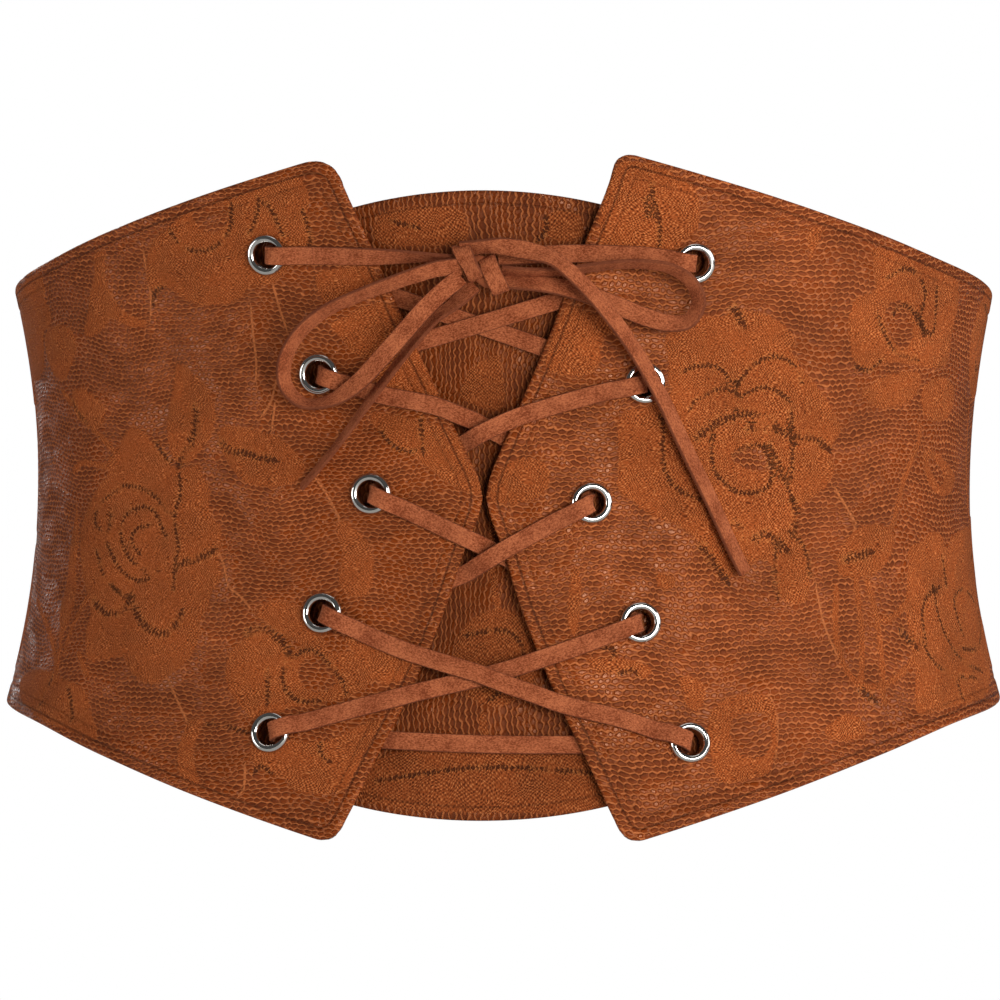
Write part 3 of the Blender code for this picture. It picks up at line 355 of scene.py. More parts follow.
# Floral lace pattern, drawn in millimetres along the waist and up: closed outlines woven
# dense, closed windows of open net in them, rows of openwork holes, wider slits with
# bars, stems and single heavy threads. A path is pairs of numbers, across and up
pattern = {
    "right": {
        "woven": (
            "31.5 84, 33.5 84.5, 40.5 83.5, 50.5 78, 51.5 71.5, 51.5 66.5, 48 65, 47 62, 37.5 62.5, 30 63, "
            "27.5 63, 28 73, 30 80",
            "79 69, 84 68.5, 83 65, 82 61, 81 59",
            "98 64, 107 62.5, 109 57.5, 105 56.5, 100 59",
            "46.5 34.5, 45 39.5, 47.5 45, 53.5 46, 60.5 45.5, 62 47.5, 67.5 47.5, 73.5 45.5, 78 42.5, "
            "80.5 39.5, 78.5 37, 82 34, 85 30.5, 89 26.5, 92.5 22, 95.5 17.5, 93 14.5, 91.5 11.5, 94 7.5, "
            "91.5 3, 86.5 0, 83 -2.5, 82 -8, 84 -10.5, 86 -15.5, 85.5 -20.5, 84.5 -27, 76 -26.5, 76 -18, "
            "72.5 -15, 67 -17.5, 62.5 -21, 60 -17.5, 56 -12, 53 -9, 49 -6.5, 45.5 -5.5, 41.5 -4, 39 -1, "
            "36 0, 34 3, 34.5 8.5, 34.5 13.5, 34 19, 35.5 22, 40.5 23, 45 24, 48.5 26.5, 46.5 29.5",
            "22.5 -18, 24.5 -16.5, 25 -21.5, 24.5 -29, 23.5 -34.5, 22 -35, 21 -29",
            "25.5 -39.5, 28.5 -40.5, 33 -40, 40.5 -41.5, 42 -44.5, 38.5 -45.5, 36 -43.5, 33.5 -44, "
            "28.5 -44, 26 -41.5",
            "48 -44.5, 51.5 -45, 54.5 -46.5, 54.5 -49.5, 53 -53, 50.5 -53.5, 49 -52.5, 48.5 -48.5",
            "54 -54.5, 57.5 -51, 61.5 -49.5, 66.5 -49, 71 -50, 72 -54, 71 -60.5, 69.5 -65, 67 -69.5, "
            "61 -71, 55.5 -72, 54 -69.5, 53.5 -65, 53.5 -60.5",
            "43.5 -18.5, 46 -19, 49 -20.5, 48 -23, 45 -23, 43.5 -21.5",
            "94.5 43, 94.5 48, 96.5 51.5, 102.5 52.5, 100.5 57.5, 98 64, 103.5 63.5, 111.5 61, 118 59.5, "
            "133 56.5, 135.5 50, 134 44, 135 35.5, 132 33, 121.5 33.5, 109 35, 101.5 32, 97 35, 95.5 40",
            "103 28.5, 109.5 32, 123 33, 122.5 27, 115.5 23, 111.5 23.5, 108 22, 102.5 25, 100 27",
            "123.5 29.5, 132.5 31.5, 140.5 29, 140 22, 133 19, 125 20.5, 123 25.5",
            "125.5 13, 132 12, 139.5 8.5, 145.5 5.5, 142 1, 134 0, 128.5 3.5, 126 8.5",
            "94 -13.5, 98 -9, 102.5 -6.5, 111.5 -7, 113.5 -10.5, 111 -15.5, 106 -19.5, 98 -20.5, 93 -19.5",
            "118.5 -12, 125.5 -11.5, 129 -8, 135.5 -9.5, 137 -14, 141.5 -9, 164.5 -6.5, 168 -15, "
            "168 -23.5, 168 -36.5, 155 -48.5, 145.5 -52, 132 -53, 120 -54.5, 111 -56, 114.5 -46, "
            "115 -39.5, 114.5 -31, 116 -23, 118 -18",
            "82 -59, 90.5 -54, 95.5 -56, 95.5 -60.5, 86.5 -62",
            "1 -0.5, 4 5.5, 6 9, 11 10.5, 16 9.5, 18 5, 15 0, 8 -2",
            "20.5 49, 25.5 47, 34 44, 34 41, 29.5 41, 29.5 30.5, 18 30.5, 15 33.5",
            "154 58, 170 52, 178 36, 168 24, 152 28, 146 42",
            "162 -6, 178 -4, 188 -22, 180 -42, 164 -46, 154 -30",
            "188 24, 199 20, 201 0, 191 -2",
        ),
        "open": (
            "63.5 10, 65 12.5, 70.5 13, 74.5 11, 76 7.5, 72.5 6.5, 69 7, 66 8.5",
            "60 -54.5, 70 -53.5, 69.5 -60.5, 67 -65.5, 60 -65, 59 -60",
            "105 48.5, 110.5 51, 115 47, 117.5 41, 114.5 37, 108.5 41",
            "128 10.5, 132 9.5, 137 5.5, 135 2.5, 130 6",
            "164 -20, 172 -18, 174 -32, 166 -34",
        ),
        "holes": (
            "39.5 78.5, 40 74.5, 41.5 71.5, 42.5 66.5, 42.5 62.5",
            "38.5 74.5, 39 71",
            "50.5 32, 54 33.5, 58 33.5, 61.5 32, 62 30, 65 28.5",
            "65 28.5, 67.5 32.5, 71 35, 74.5 36, 78 35, 81 32.5, 82.5 29.5",
            "52.5 22.5, 53.5 24.5, 56.5 26, 60 27.5, 63.5 27.5, 65.5 25.5, 65.5 22",
            "65 11, 67.5 13, 70.5 13.5, 73.5 12.5, 75 8.5, 75.5 4.5, 73.5 2, 69.5 1, 65.5 1.5, 61.5 4.5, "
            "59 7.5, 58.5 11.5, 59 15.5",
            "74.5 13.5, 77 9.5, 78 5.5, 80 2.5, 81.5 -1",
            "80 22, 81 15.5, 81 9.5, 80.5 5",
            "85.5 -19.5, 85 -14.5, 83.5 -11, 80.5 -9",
            "45 20.5, 46 16.5, 45.5 11.5, 46.5 6.5, 49 2.5, 53 0.5, 57 -0.5",
            "76.5 -11, 75.5 -18, 76 -25",
            "65.5 25.5, 71 28, 75.5 27.5, 79.5 24.5",
            "30 -37.5, 33 -38, 32 -40",
            "33.5 -44, 37 -43, 37.5 -44",
            "103.5 46.5, 106.5 42, 111 37, 120 35.5",
            "105 56, 110 59, 116 57, 120 52, 118.5 47, 121 43.5, 125.5 41, 125 48, 123.5 53.5",
            "109 47, 112 50, 116 47.5, 121 42",
            "98.5 33.5, 102.5 32, 106.5 35",
            "121 -36.5, 121 -29.5, 125 -24.5, 131.5 -23",
            "128.5 -23, 128.5 -29.5, 131 -36.5, 137 -42.5, 148.5 -45",
            "138.5 -39, 150 -39.5, 161 -33, 156.5 -26.5, 145.5 -23, 138 -25.5, 138.5 -30, 140.5 -35",
            "119.5 -36.5, 122 -42, 129 -45.5, 142.5 -46.5",
            "134.5 -15.5, 135 -22.5",
            "131.5 -46.5, 132.5 -51.5",
            "156 50, 166 46, 168 36, 160 32, 154 38, 158 44",
            "160 -16, 172 -12, 180 -24, 174 -38, 164 -40",
        ),
        "slits": (
            "55 15.5, 57 17, 60.5 19.5, 64.5 20.5, 68 21.5, 72 20.5, 75 19, 78 16.5, 81 15.5, 85 16, "
            "88.5 14.5, 91 12.5",
            "69 17.5, 73.5 18, 76.5 17.5",
            "65.5 -6.5, 67.5 -9.5, 71 -10",
            "74 -9, 76 -10.5, 79 -13",
            "56 -12.5, 58.5 -15.5, 61 -19, 62.5 -21",
            "81.5 -1, 82.5 -4, 81.5 -8.5",
            "96.5 -15.5, 104 -14",
            "62.5 47.5, 64 46, 65 44",
            "112.5 -34.5, 116.5 -38",
            "96.5 -49, 100 -51.5",
        ),
        "stems": (
            "123.5 18.5, 124 14.5, 119 7, 116.5 2, 114 -4.5, 111.5 -9",
            "102.5 -21, 104.5 -29.5, 104.5 -39.5, 102.5 -52",
            "99 -21, 99.5 -35, 96.5 -47.5",
            "93 -23, 91 -35, 92.5 -43.5, 96.5 -48.5, 105 -47.5, 114.5 -42, 116.5 -38.5",
            "106.5 -31, 110 -30.5, 115.5 -27",
            "156 26, 158 8, 164 -6",
        ),
        "threads": (
            "71 -50.5, 72 -56, 69.5 -65",
            "87 -22.5, 88.5 -34.5, 94 -46",
            "94 1.5, 98 -3.5, 99.5 -7.5",
            "94 2, 97 -2, 100 -6.5",
        ),
    },
    "left": {
        "woven": (
            "-145 55.5, -132.5 57.5, -127 58.5, -127 55, -128 51.5, -126 48, -126.5 45, -133 43, "
            "-134 38.5, -136 32, -148.5 29.5, -150.5 36, -153 41.5, -160 45.5",
            "-103.5 62.5, -99 64, -100.5 59, -101 55.5, -99.5 52, -97 48, -93 46, -88.5 45, -91 43, "
            "-96.5 44, -101.5 46.5, -104 43, -107.5 41.5, -113 41, -109 48, -107.5 52.5, -105.5 54.5, "
            "-104 59",
            "-132.5 42.5, -125 45, -116.5 44, -115 39.5, -117.5 35.5, -120.5 32.5, -122.5 30, -129 31, "
            "-131 34, -133 36.5",
            "-121 28, -113.5 28.5, -109.5 25.5, -106 23.5, -106.5 20.5, -109.5 18, -113 18, -117.5 22",
            "-87.5 52.5, -87 59.5, -83.5 65.5, -78.5 68.5, -71.5 72.5, -62.5 74.5, -56 76.5, -48.5 79.5, "
            "-41.5 81.5, -40 76.5, -40.5 71.5, -42 68.5, -40.5 63.5, -42 61.5, -47 58, -51.5 53.5, "
            "-57.5 54, -60 50.5, -64 49, -72.5 48.5, -77.5 51, -81.5 54",
            "-41 54.5, -40 57, -33 58, -25 58.5, -25 50.5, -33.5 48.5, -39 49, -39.5 51.5",
            "-38.5 43.5, -34 45.5, -27.5 49, -21 49, -19 42.5, -23.5 34.5, -28 34.5, -32.5 36.5, -34.5 40",
            "-97 18.5, -93 17, -90.5 14, -87 10.5, -84 8, -81 7.5, -76 9, -75 5.5, -72 2.5, -73 -1.5, "
            "-72 -5, -68.5 -7, -69 -11, -68 -12.5, -69.5 -14.5, -67.5 -18.5, -68 -21.5, -70.5 -24, "
            "-70.5 -27.5, -73 -30.5, -72.5 -35.5, -74 -39.5, -77 -43, -81 -46, -85 -48, -90.5 -46, "
            "-94.5 -43, -96 -40.5, -102 -41.5, -108.5 -42.5, -110.5 -37.5, -111 -33.5, -109.5 -29.5, "
            "-113 -24, -115.5 -19, -117 -14, -117 -7, -113.5 -1.5, -110 3, -105.5 6.5, -107 9.5, -103 12, "
            "-100 16.5",
            "-81.5 35, -78 33, -73.5 29.5, -70.5 24.5, -70 20, -71.5 16.5, -74.5 12.5, -77.5 9.5, -81 8.5, "
            "-84 9.5, -85.5 14, -86 19, -84 25, -82.5 30",
            "-69.5 18.5, -62.5 18, -57.5 17, -52 15.5, -49.5 13.5, -46.5 10.5, -44.5 8, -46.5 5, -49.5 3, "
            "-56 2.5, -61.5 3.5, -65 6, -67.5 9.5, -70 14",
            "-119 27.5, -114.5 28, -110 25, -106 23, -107 19, -112 17.5, -117 19.5, -120 23",
            "-120 1, -117.5 -9, -119 -19, -116.5 -24, -120 -33.5, -122.5 -37.5, -125.5 -29, -122.5 -21.5, "
            "-123 -14, -120 -4",
            "-37.5 -7, -35.5 -5, -31 -8, -27 -13.5, -27 -23, -30.5 -25.5, -34 -24.5, -36.5 -21, -35 -13.5",
            "-56 -26.5, -51.5 -25.5, -45.5 -27, -44.5 -32, -38 -36, -38 -39, -44 -37.5, -50 -34.5, "
            "-54.5 -31.5, -58 -29.5",
            "-64.5 -40.5, -62.5 -37.5, -59 -34.5, -54 -33, -49.5 -36, -47.5 -40, -45 -37, -41 -37, "
            "-36.5 -39, -33.5 -38.5, -30.5 -39, -27 -42, -24.5 -44.5, -28.5 -48, -32.5 -50.5, -36.5 -51, "
            "-42.5 -52.5, -46.5 -52.5, -49 -54.5, -54 -57, -59 -53, -62.5 -49, -64.5 -45",
            "-144.5 -47, -134.5 -44, -123 -44.5, -118.5 -46.5, -111 -47.5, -106.5 -49.5, -103 -55.5, "
            "-99.5 -59, -99 -62.5, -105.5 -60.5, -117 -58.5, -129 -55.5, -142 -51",
            "-55.5 -61, -47.5 -60.5, -37.5 -62, -31 -58, -22.5 -54.5, -24.5 -60.5, -28.5 -68.5, -30.5 -74, "
            "-36 -74.5, -42 -74, -45.5 -70, -51 -69, -54.5 -66",
            "-73 -56.5, -68.5 -55.5, -69 -59.5, -70 -63.5, -68 -69, -65 -73, -69 -72.5, -73 -69, -74 -64, "
            "-73.5 -60",
            "-35 -36, -30.5 -33, -24.5 -36.5, -15 -41.5, -17.5 -45, -22 -47, -25.5 -46, -30.5 -39",
            "-27 49, -23 49.5, -19 45, -15.5 36.5, -11 28, -10.5 25, -17.5 25.5, -25 28, -28 30.5",
            "-28 22, -22 21, -10 18.5, -6 16, -3.5 9.5, 0 4, 0 0, -7.5 3, -12.5 7, -15 9, -17.5 11.5, "
            "-23 14, -25.5 17, -28 18.5",
            "-150 60, -166 52, -172 34, -160 22, -146 30, -140 46",
            "-158 -12, -176 -8, -184 -26, -176 -44, -158 -46, -148 -30",
            "-186 20, -198 16, -200 -4, -190 -6",
        ),
        "open": (
            "-45.5 -42, -41 -39, -36.5 -42.5, -35 -47, -38.5 -49, -44 -47.5",
            "-71 73, -65 74, -60.5 74, -61.5 69, -65 67, -69.5 67.5",
            "-160 -22, -168 -20, -170 -32, -162 -36",
        ),
        "holes": (
            "-77.5 67.5, -76 64.5, -72.5 62.5, -68 62.5, -63.5 64.5, -60.5 69, -60 74",
            "-52.5 75.5, -53.5 72, -54.5 69, -56 67",
            "-50.5 74, -49 71, -48.5 68, -47.5 66.5",
            "-42 72, -41 68, -41 63.5",
            "-82.5 54, -85.5 52.5, -86.5 49.5",
            "-91.5 -7, -95.5 -7.5, -97.5 -9.5, -97 -12, -94.5 -14",
            "-85.5 -10, -86.5 -9, -88 -6, -90 -3, -94 -2, -99 -3.5, -101.5 -7, -101 -10.5, -98.5 -15, "
            "-95.5 -17, -92 -18.5, -87.5 -18.5",
            "-110.5 -7, -111 -4, -108 -0.5, -103.5 2, -99.5 3.5, -94 2.5, -89.5 0.5, -86 -3.5, -83.5 -4, "
            "-82 -1, -81.5 3, -82 5.5",
            "-105 -4, -105.5 -8, -106 -12, -103 -16, -100 -19, -97 -20.5, -92.5 -21.5, -87.5 -18.5",
            "-83.5 -4, -82.5 -9, -81.5 -13, -82.5 -15.5, -82.5 -19.5, -82.5 -23.5",
            "-110.5 -7, -107 -9, -106 -12",
            "-109.5 -14, -107.5 -18.5, -104 -22, -100 -24.5",
            "-119.5 25, -117.5 22, -114 19.5",
            "-89 14, -87.5 11.5, -85 9.5",
            "-103 -22.5, -99 -25, -95.5 -25.5",
            "-53 -43.5, -52.5 -48, -52 -52",
            "-47.5 -42, -45 -38.5, -41 -38, -37 -42, -33.5 -46, -32.5 -49",
            "-48 -39, -49 -42.5, -49 -46.5, -46.5 -50, -43 -51.5, -39 -51",
            "-122.5 -46.5, -124.5 -50.5, -125.5 -54",
            "-114 -49, -110.5 -53.5, -109.5 -57",
            "-67 -57, -61.5 -57.5, -56.5 -59",
            "-37.5 -62, -37.5 -64.5, -35 -66",
            "-53 -69, -51 -67, -49 -69",
            "-25.5 17, -23.5 14, -20.5 12, -17 11.5",
            "-15 20, -15 14.5, -14.5 11.5",
            "-152 52, -162 46, -164 34, -154 30, -148 38, -154 44",
            "-154 -18, -166 -14, -176 -24, -172 -38, -160 -42",
        ),
        "slits": (
            "-76.5 22.5, -76.5 19.5, -77.5 15.5, -79.5 12, -82 8.5",
            "-68.5 13.5, -65.5 11.5, -62.5 11.5, -58 10.5, -53.5 9.5",
            "-108.5 -27, -105 -29.5, -101 -30, -97.5 -28, -96.5 -25",
            "-94.5 -28, -91.5 -32, -86.5 -34.5, -83 -34.5, -80.5 -32.5, -79 -29.5",
            "-80.5 -16.5, -76.5 -16, -73.5 -14.5, -71 -13.5",
            "-59 -34, -56.5 -33, -52.5 -34, -49.5 -36.5, -48 -39",
        ),
        "stems": (
            "-125 27.5, -116.5 22, -106.5 14, -102.5 11.5",
            "-142.5 -26.5, -129 -34.5, -123 -41.5, -121 -45.5",
            "-124 -26.5, -122 -35.5, -121 -45.5",
            "-112.5 -26, -118 -34, -119 -40",
            "-112.5 -40, -107.5 -45.5",
            "-120.5 7, -117 9.5, -107 8",
            "-150 26, -152 8, -158 -8",
            "-176 0, -188 8",
        ),
        "threads": (
            "-51.5 53.5, -50.5 48.5, -49 43",
            "-58 48, -58 40.5, -57.5 34.5, -58 29.5",
            "-87 62, -87 56.5, -87 51, -88 46.5",
            "-42.5 5, -39.5 1, -36.5 -4.5",
            "-36.5 -4.5, -36 -9, -34 -12, -33 -16.5",
            "-73 -12, -68 -14.5, -66 -22.5, -62.5 -24.5, -59.5 -27.5",
            "-76 -29, -73 -33",
            "-81.5 -44.5, -77 -51, -73 -56.5",
            "-55.5 -67.5, -54.5 -73, -55.5 -75",
            "-56.5 21, -54 24, -52.5 29",
            "-53 23.5, -54 17.5",
        ),
    },
    "modesty": {
        "woven": (
            "-26 70, -21 72.5, -6.5 73, -3 69.5, -3 64.5, -6.5 63, -16.5 62.5, -26.5 63",
            "14 67.5, 15.5 70.5, 20 72, 24.5 71, 25 64.5, 20 63.5, 16.5 64.5",
            "-5 28.5, -3.5 32, 1 35, 5 36, 5 31, 6 25.5, 5 21, 1 22, -6 24.5",
            "-30 -66, -10 -60, 20 -62, 40 -70, 40 -78, -30 -78",
            "-6 -30, 10 -26, 16 -44, 4 -54, -8 -46",
            "-58 60, -40 64, -36 50, -54 40",
            "40 62, 58 56, 56 40, 38 46",
            "-56 -40, -36 -36, -34 -56, -56 -62",
            "36 -40, 56 -44, 58 -62, 38 -56",
        ),
        "open": (),
        "holes": (
            "-21.5 69, -18.5 68, -15.5 67.5",
            "13.5 64, 16 66.5, 15.5 69.5",
            "-4 -34, 8 -32, 12 -42, 2 -50",
            "-24 -70, 0 -66, 26 -68",
        ),
        "slits": (),
        "stems": (
            "0 -54, 2 -62",
            "4 2, 2 -14, 4 -28",
        ),
        "threads": (),
    },
}

# Net stretched across and up, its sways, the mesh's steps, and the relief in metres
cloth = {
    "stretch": {"left": (0.96, 1.42), "right": (0.92, 1.20), "modesty": (0.80, 1.20)},
    "sways": (((1.3, 9.1, 23), (0.7, 4.3, -11)), ((1.2, 10.3, -19), (0.6, 4.9, 13))),
    "step": 0.00092,
    "fineEnds": (0.0004, 0.0009),
    "frontLength": 0.205,
    "meanLength": 0.190,
    "turnOver": 1.4,
    "borderStep": 4,
    "edgeRound": 0.00075,
    "edgeDrop": 0.00058,
    "motifRise": 0.00018,
    "motifSlope": (-0.3, 0.5),
    "hemRise": 0.00012,
    "hemIn": 0.0052,
    "hemSlope": 0.0004,
    "hemGroove": 0.00022,
    "grooveHalf": 0.0005,
    "holeKeep": 0.0041,
    "stemHalf": 0.9,
    "slitWiden": 1.7,
}


def insidePolygon(points, polygon):
    inside = np.zeros(len(points), dtype=bool)
    for a, b in zip(polygon, np.roll(polygon, -1, axis=0)):
        crosses = (a[1] > points[:, 1]) != (b[1] > points[:, 1])
        reach = a[0] + (points[:, 1] - a[1]) / ((b[1] - a[1]) or 1e-9) * (b[0] - a[0])
        inside ^= crosses & (points[:, 0] < reach)
    return inside


# Reads a drawn path and rounds it by cutting its corners
def rounded(path, closed):
    points = np.array([spot.split() for spot in path.split(",")], dtype=float)
    for _ in range(2):
        first, second = (points, np.roll(points, -1, axis=0)) if closed else (points[:-1], points[1:])
        cut = np.stack((0.75 * first + 0.25 * second, 0.25 * first + 0.75 * second), axis=1).reshape(-1, 2)
        points = cut if closed else np.vstack((points[:1], cut, points[-1:]))
    return np.vstack((points, points[:1])) if closed else points


# Signed distance and length along the nearest of some paths, worked out near them only
def nearPaths(points, paths, reach=6.0, far=50.0):
    signed = np.full(len(points), far)
    along = np.zeros(len(points))
    for path in paths:
        low, high = path.min(axis=0) - reach, path.max(axis=0) + reach
        near = np.flatnonzero(np.all((points > low) & (points < high), axis=1))
        if len(near) == 0:
            continue
        apart, run = pathDistance(points[near] / 1000, path / 1000)
        closer = np.abs(apart) * 1000 < np.abs(signed[near])
        signed[near[closer]] = apart[closer] * 1000
        along[near[closer]] = run[closer] * 1000
    return signed, along


def insideOutlines(points, outlines, farthest=20.0):
    depth = np.full(len(points), -farthest)
    for outline in outlines:
        loop = rounded(outline, True)
        apart = np.minimum(np.abs(nearPaths(points, [loop])[0]), farthest)
        depth = np.maximum(depth, np.where(insidePolygon(points, loop), apart, -apart))
    return depth


# The pattern at each place: how far inside a motif, the nearest row of openwork holes
# and the nearest heavy thread
def patternAt(points, design):
    near = {kind: nearPaths(points, [rounded(path, False) for path in design[kind]])
            for kind in ("stems", "holes", "slits", "threads")}
    motif = insideOutlines(points, design["woven"])
    motif = np.minimum(motif, -insideOutlines(points, design["open"]))
    motif = np.maximum(motif, cloth["stemHalf"] - np.abs(near["stems"][0]))
    (fine, fineAlong), (slit, slitAlong) = near["holes"], near["slits"]
    slit = slit / cloth["slitWiden"]
    wide = np.abs(slit) < np.abs(fine)
    signed = np.where(wide, slit, fine)
    rows = np.stack((signed, np.where(wide, slitAlong, fineAlong), np.abs(signed)), axis=1)
    return motif, rows, near["threads"][0]


# Stores places in the net, drawn out of true as stretched cloth is, with the pattern there
def storeLace(piece, used, points, stretch, edge, drawing):
    motif, rows, threads = drawing
    laid = []
    for i, sways in enumerate(cloth["sways"]):
        run, beside = points[:, i], points[:, 1 - i]
        swayed = run + sum(size * np.sin(beside / near + run / far) for size, near, far in sways)
        laid.append(swayed * stretch[i])
    storeVector(piece, "cloth", np.stack((*laid, threads), axis=1)[used])
    storeVector(piece, "rows", rows[used])
    storeVector(piece, "edge", np.stack((edge * 1000, motif, np.zeros(len(motif))), axis=1)[used])


# Shares of a length in even steps, with finer ones at its ends
def fineSteps(length):
    shares = set(np.linspace(0, 1, round(length / cloth["step"]) + 1))
    for extra in cloth["fineEnds"]:
        shares |= {extra / length, 1 - extra / length}
    return np.array(sorted(shares))


eyeletRow = {
    "level": {"left": 0.0011, "right": -0.0012},
    "pitch": 0.0301,
    "inset": 0.0282,
    "pitches": (2, 1, 0, -1, -2),
    "shares": {"left": (0.945, 0.987, 0.998, 1.083, 1.020), "right": (1.000, 1.015, 0.933, 0.995, 0.925)},
}


def eyeletPlace(side, row):
    inset = eyeletRow["shares"][side][row]
    z = eyeletRow["level"][side] + eyeletRow["pitches"][row] * eyeletRow["pitch"]
    return float(frontEdge(side, np.array(z))) + sideSign[side] * inset * eyeletRow["inset"], z


def panelPiece(side, materials):
    outline = spaced(frontOutline(side), fineSteps(cloth["frontLength"]))
    lengths = lengthsAlong(outline)
    seam = sideSign[side] * waist["panelLength"]
    along = fineSteps(cloth["meanLength"])[None, :]
    frontS, frontZ = outline[:, :1], outline[:, 1:]
    low, high = beltEdge(frontS, -1), beltEdge(frontS, 1)
    shareFront = (frontZ - low) / (high - low)
    shareSeam = (lengths / lengths[-1])[:, None]
    s = frontS + (seam - frontS) * along
    share = shareFront + (shareSeam - shareFront) * smoothStep(along * cloth["turnOver"])
    low, high = beltEdge(s, -1), beltEdge(s, 1)
    z = low + (high - low) * share
    flat = np.stack((s.ravel(), z.ravel()), axis=1)
    lowLine, highLine = (np.stack((s[i], z[i]), axis=1) for i in (0, -1))
    border = np.vstack((lowLine[::-1], outline[1:-1], highLine))
    edge = np.abs(pathDistance(flat, border[::cloth["borderStep"]])[0])
    drawing = patternAt(flat * 1000, pattern[side])
    hem = smoothStep(cloth["hemIn"] - edge, -cloth["hemSlope"], cloth["hemSlope"])
    groove = np.exp(-((edge - cloth["hemIn"]) / cloth["grooveHalf"]) ** 2)
    nearest = np.minimum(edge, np.abs(flat[:, 0] - seam))
    roundShare, drop = roundedEdge(nearest, cloth["edgeRound"], cloth["edgeDrop"])
    relief = cloth["motifRise"] * smoothStep(drawing[0], *cloth["motifSlope"])
    relief = (relief + cloth["hemRise"] * hem - cloth["hemGroove"] * groove) * (1 - roundShare) - drop
    rise = panelRise(side, s, z)
    outer = place(s, z, rise + relief.reshape(s.shape))
    inner = place(s, z, rise - waist["wall"] + drop.reshape(s.shape))
    keep = np.ones((s.shape[0] - 1, s.shape[1] - 1), dtype=bool)
    middleS = (s[:-1, :-1] + s[1:, 1:]) / 2
    middleZ = (z[:-1, :-1] + z[1:, 1:]) / 2
    for row in range(len(eyeletRow["pitches"])):
        holeS, holeZ = eyeletPlace(side, row)
        keep &= np.hypot(middleS - holeS, middleZ - holeZ) > cloth["holeKeep"]
    order = np.arange(s.size).reshape(s.shape)
    if side == "left":
        outer, inner, keep, order = (grid[:, ::-1] for grid in (outer, inner, keep, order))
    piece, used = wallPiece(f"{side}_panel_lace", outer, inner, materials, keep)
    storeLace(piece, order.ravel()[used], flat * 1000, cloth["stretch"][side], edge, drawing)
    addPiece(piece, f"{side}_front_panel")


# The panel behind the opening lies behind the lace and closes on the left panel
modesty = {
    "halfWidth": 0.066,
    "top": 0.0764,
    "bottom": 0.0797,
    "height": 0.156,
    "arc": 4.2,
    "depth": 0.0046,
    "wall": 0.0015,
    "seamWidth": 0.0045,
    "seamStep": 0.004,
    "gap": 0.0003,
    "step": 0.0010,
    "motifRise": 0.0001,
}


def modestyPiece(materials):
    half = modesty["halfWidth"]
    s = np.linspace(-half, half, round(half * 2 / modesty["step"]) + 1)[None, :]
    share = np.linspace(0, 1, round(modesty["height"] / modesty["step"]) + 1)[:, None]
    low = -modesty["bottom"] + modesty["arc"] * s * s
    high = modesty["top"] - modesty["arc"] * s * s
    z = low + (high - low) * share
    s = np.broadcast_to(s, z.shape)
    sewn = 1 - smoothStep((s + half - modesty["seamWidth"]) / modesty["seamStep"])
    stand = -modesty["depth"] + (modesty["depth"] - waist["wall"] - modesty["gap"]) * sewn
    stand = stand + panelRise("left", s, z) * sewn
    turned = np.stack((z.ravel(), s.ravel()), axis=1) * 1000
    edge = np.minimum(np.minimum(z - low, high - z), half - np.abs(s)).ravel()
    drawing = patternAt(turned[:, ::-1], pattern["modesty"])
    roundShare, drop = roundedEdge(edge, cloth["edgeRound"], cloth["edgeDrop"])
    relief = modesty["motifRise"] * smoothStep(drawing[0], *cloth["motifSlope"]) * (1 - roundShare) - drop
    outer = place(s, z, stand + relief.reshape(s.shape))
    inner = place(s, z, stand - modesty["wall"] + drop.reshape(s.shape))
    piece, used = wallPiece("modesty_lace", outer, inner, materials)
    storeLace(piece, used, turned, cloth["stretch"]["modesty"], edge, drawing)
    addPiece(piece, "modesty_panel")


# Hidden back, a plain band of ribbed elastic
band = {
    "lap": 0.012,
    "wall": 0.0018,
    "inset": 0.0012,
    "gap": 0.0005,
    "ribs": 16,
    "ribDepth": 0.0005,
    "step": 0.0011,
    "rows": 84,
    "edgeRound": 0.0009,
    "edgeDrop": 0.0007,
}


def bandPiece(materials):
    lap, seam = band["lap"], waist["panelLength"]
    start = seam - lap
    length = 2 * (halfWaist - start)
    u = np.linspace(0, 1, round(length / band["step"]) + 1)[None, :]
    s = start + length * u
    folded = np.where(s <= halfWaist, s, s - 2 * halfWaist)
    low = beltEdge(folded, -1) + band["inset"]
    high = beltEdge(folded, 1) - band["inset"]
    z = low + (high - low) * np.linspace(0, 1, band["rows"])[:, None]
    folded = np.broadcast_to(folded, z.shape)
    reach = np.abs(folded)
    under = smoothStep((seam + lap * 1.5 - reach) / lap)
    rise = np.where(folded > 0, panelRise("right", folded, z), panelRise("left", folded, z)) * under
    free = 1 - smoothStep((seam + lap / 2 - reach) / lap)
    rib = band["ribDepth"] * free * (0.5 - 0.5 * np.cos(math.tau * band["ribs"] * u))
    edge = np.minimum(z - low, high - z)
    _, drop = roundedEdge(edge, band["edgeRound"], band["edgeDrop"])
    base = rise - waist["wall"] - band["gap"]
    outer = place(folded, z, base - rib - drop)
    inner = place(folded, z, base - band["wall"] + drop)
    piece, used = wallPiece("back_band_elastic", outer, inner, materials)
    flat = np.stack((np.broadcast_to(s, z.shape).ravel(), z.ravel(), edge.ravel()), axis=1) * 1000
    storeVector(piece, "cloth", flat[used])
    addPiece(piece, "back_band")


# Eyelets: rolled rings with a barrel through the panel and a washer behind
eyeletRing = {
    "radius": 0.00525,
    "holeRadius": 0.00315,
    "rise": 0.0013,
    "rimStep": 12,
    "rimFoot": 0.08,
    "rimRound": (0.62, 0.9),
    "barrelWall": 0.0003,
    "washerRadius": 0.0047,
    "washerThick": 0.0004,
    "bevel": 0.0001,
    "gap": 0.0003,
    "samples": 16,
    "segments": 72,
    "sharpAngle": 50,
}


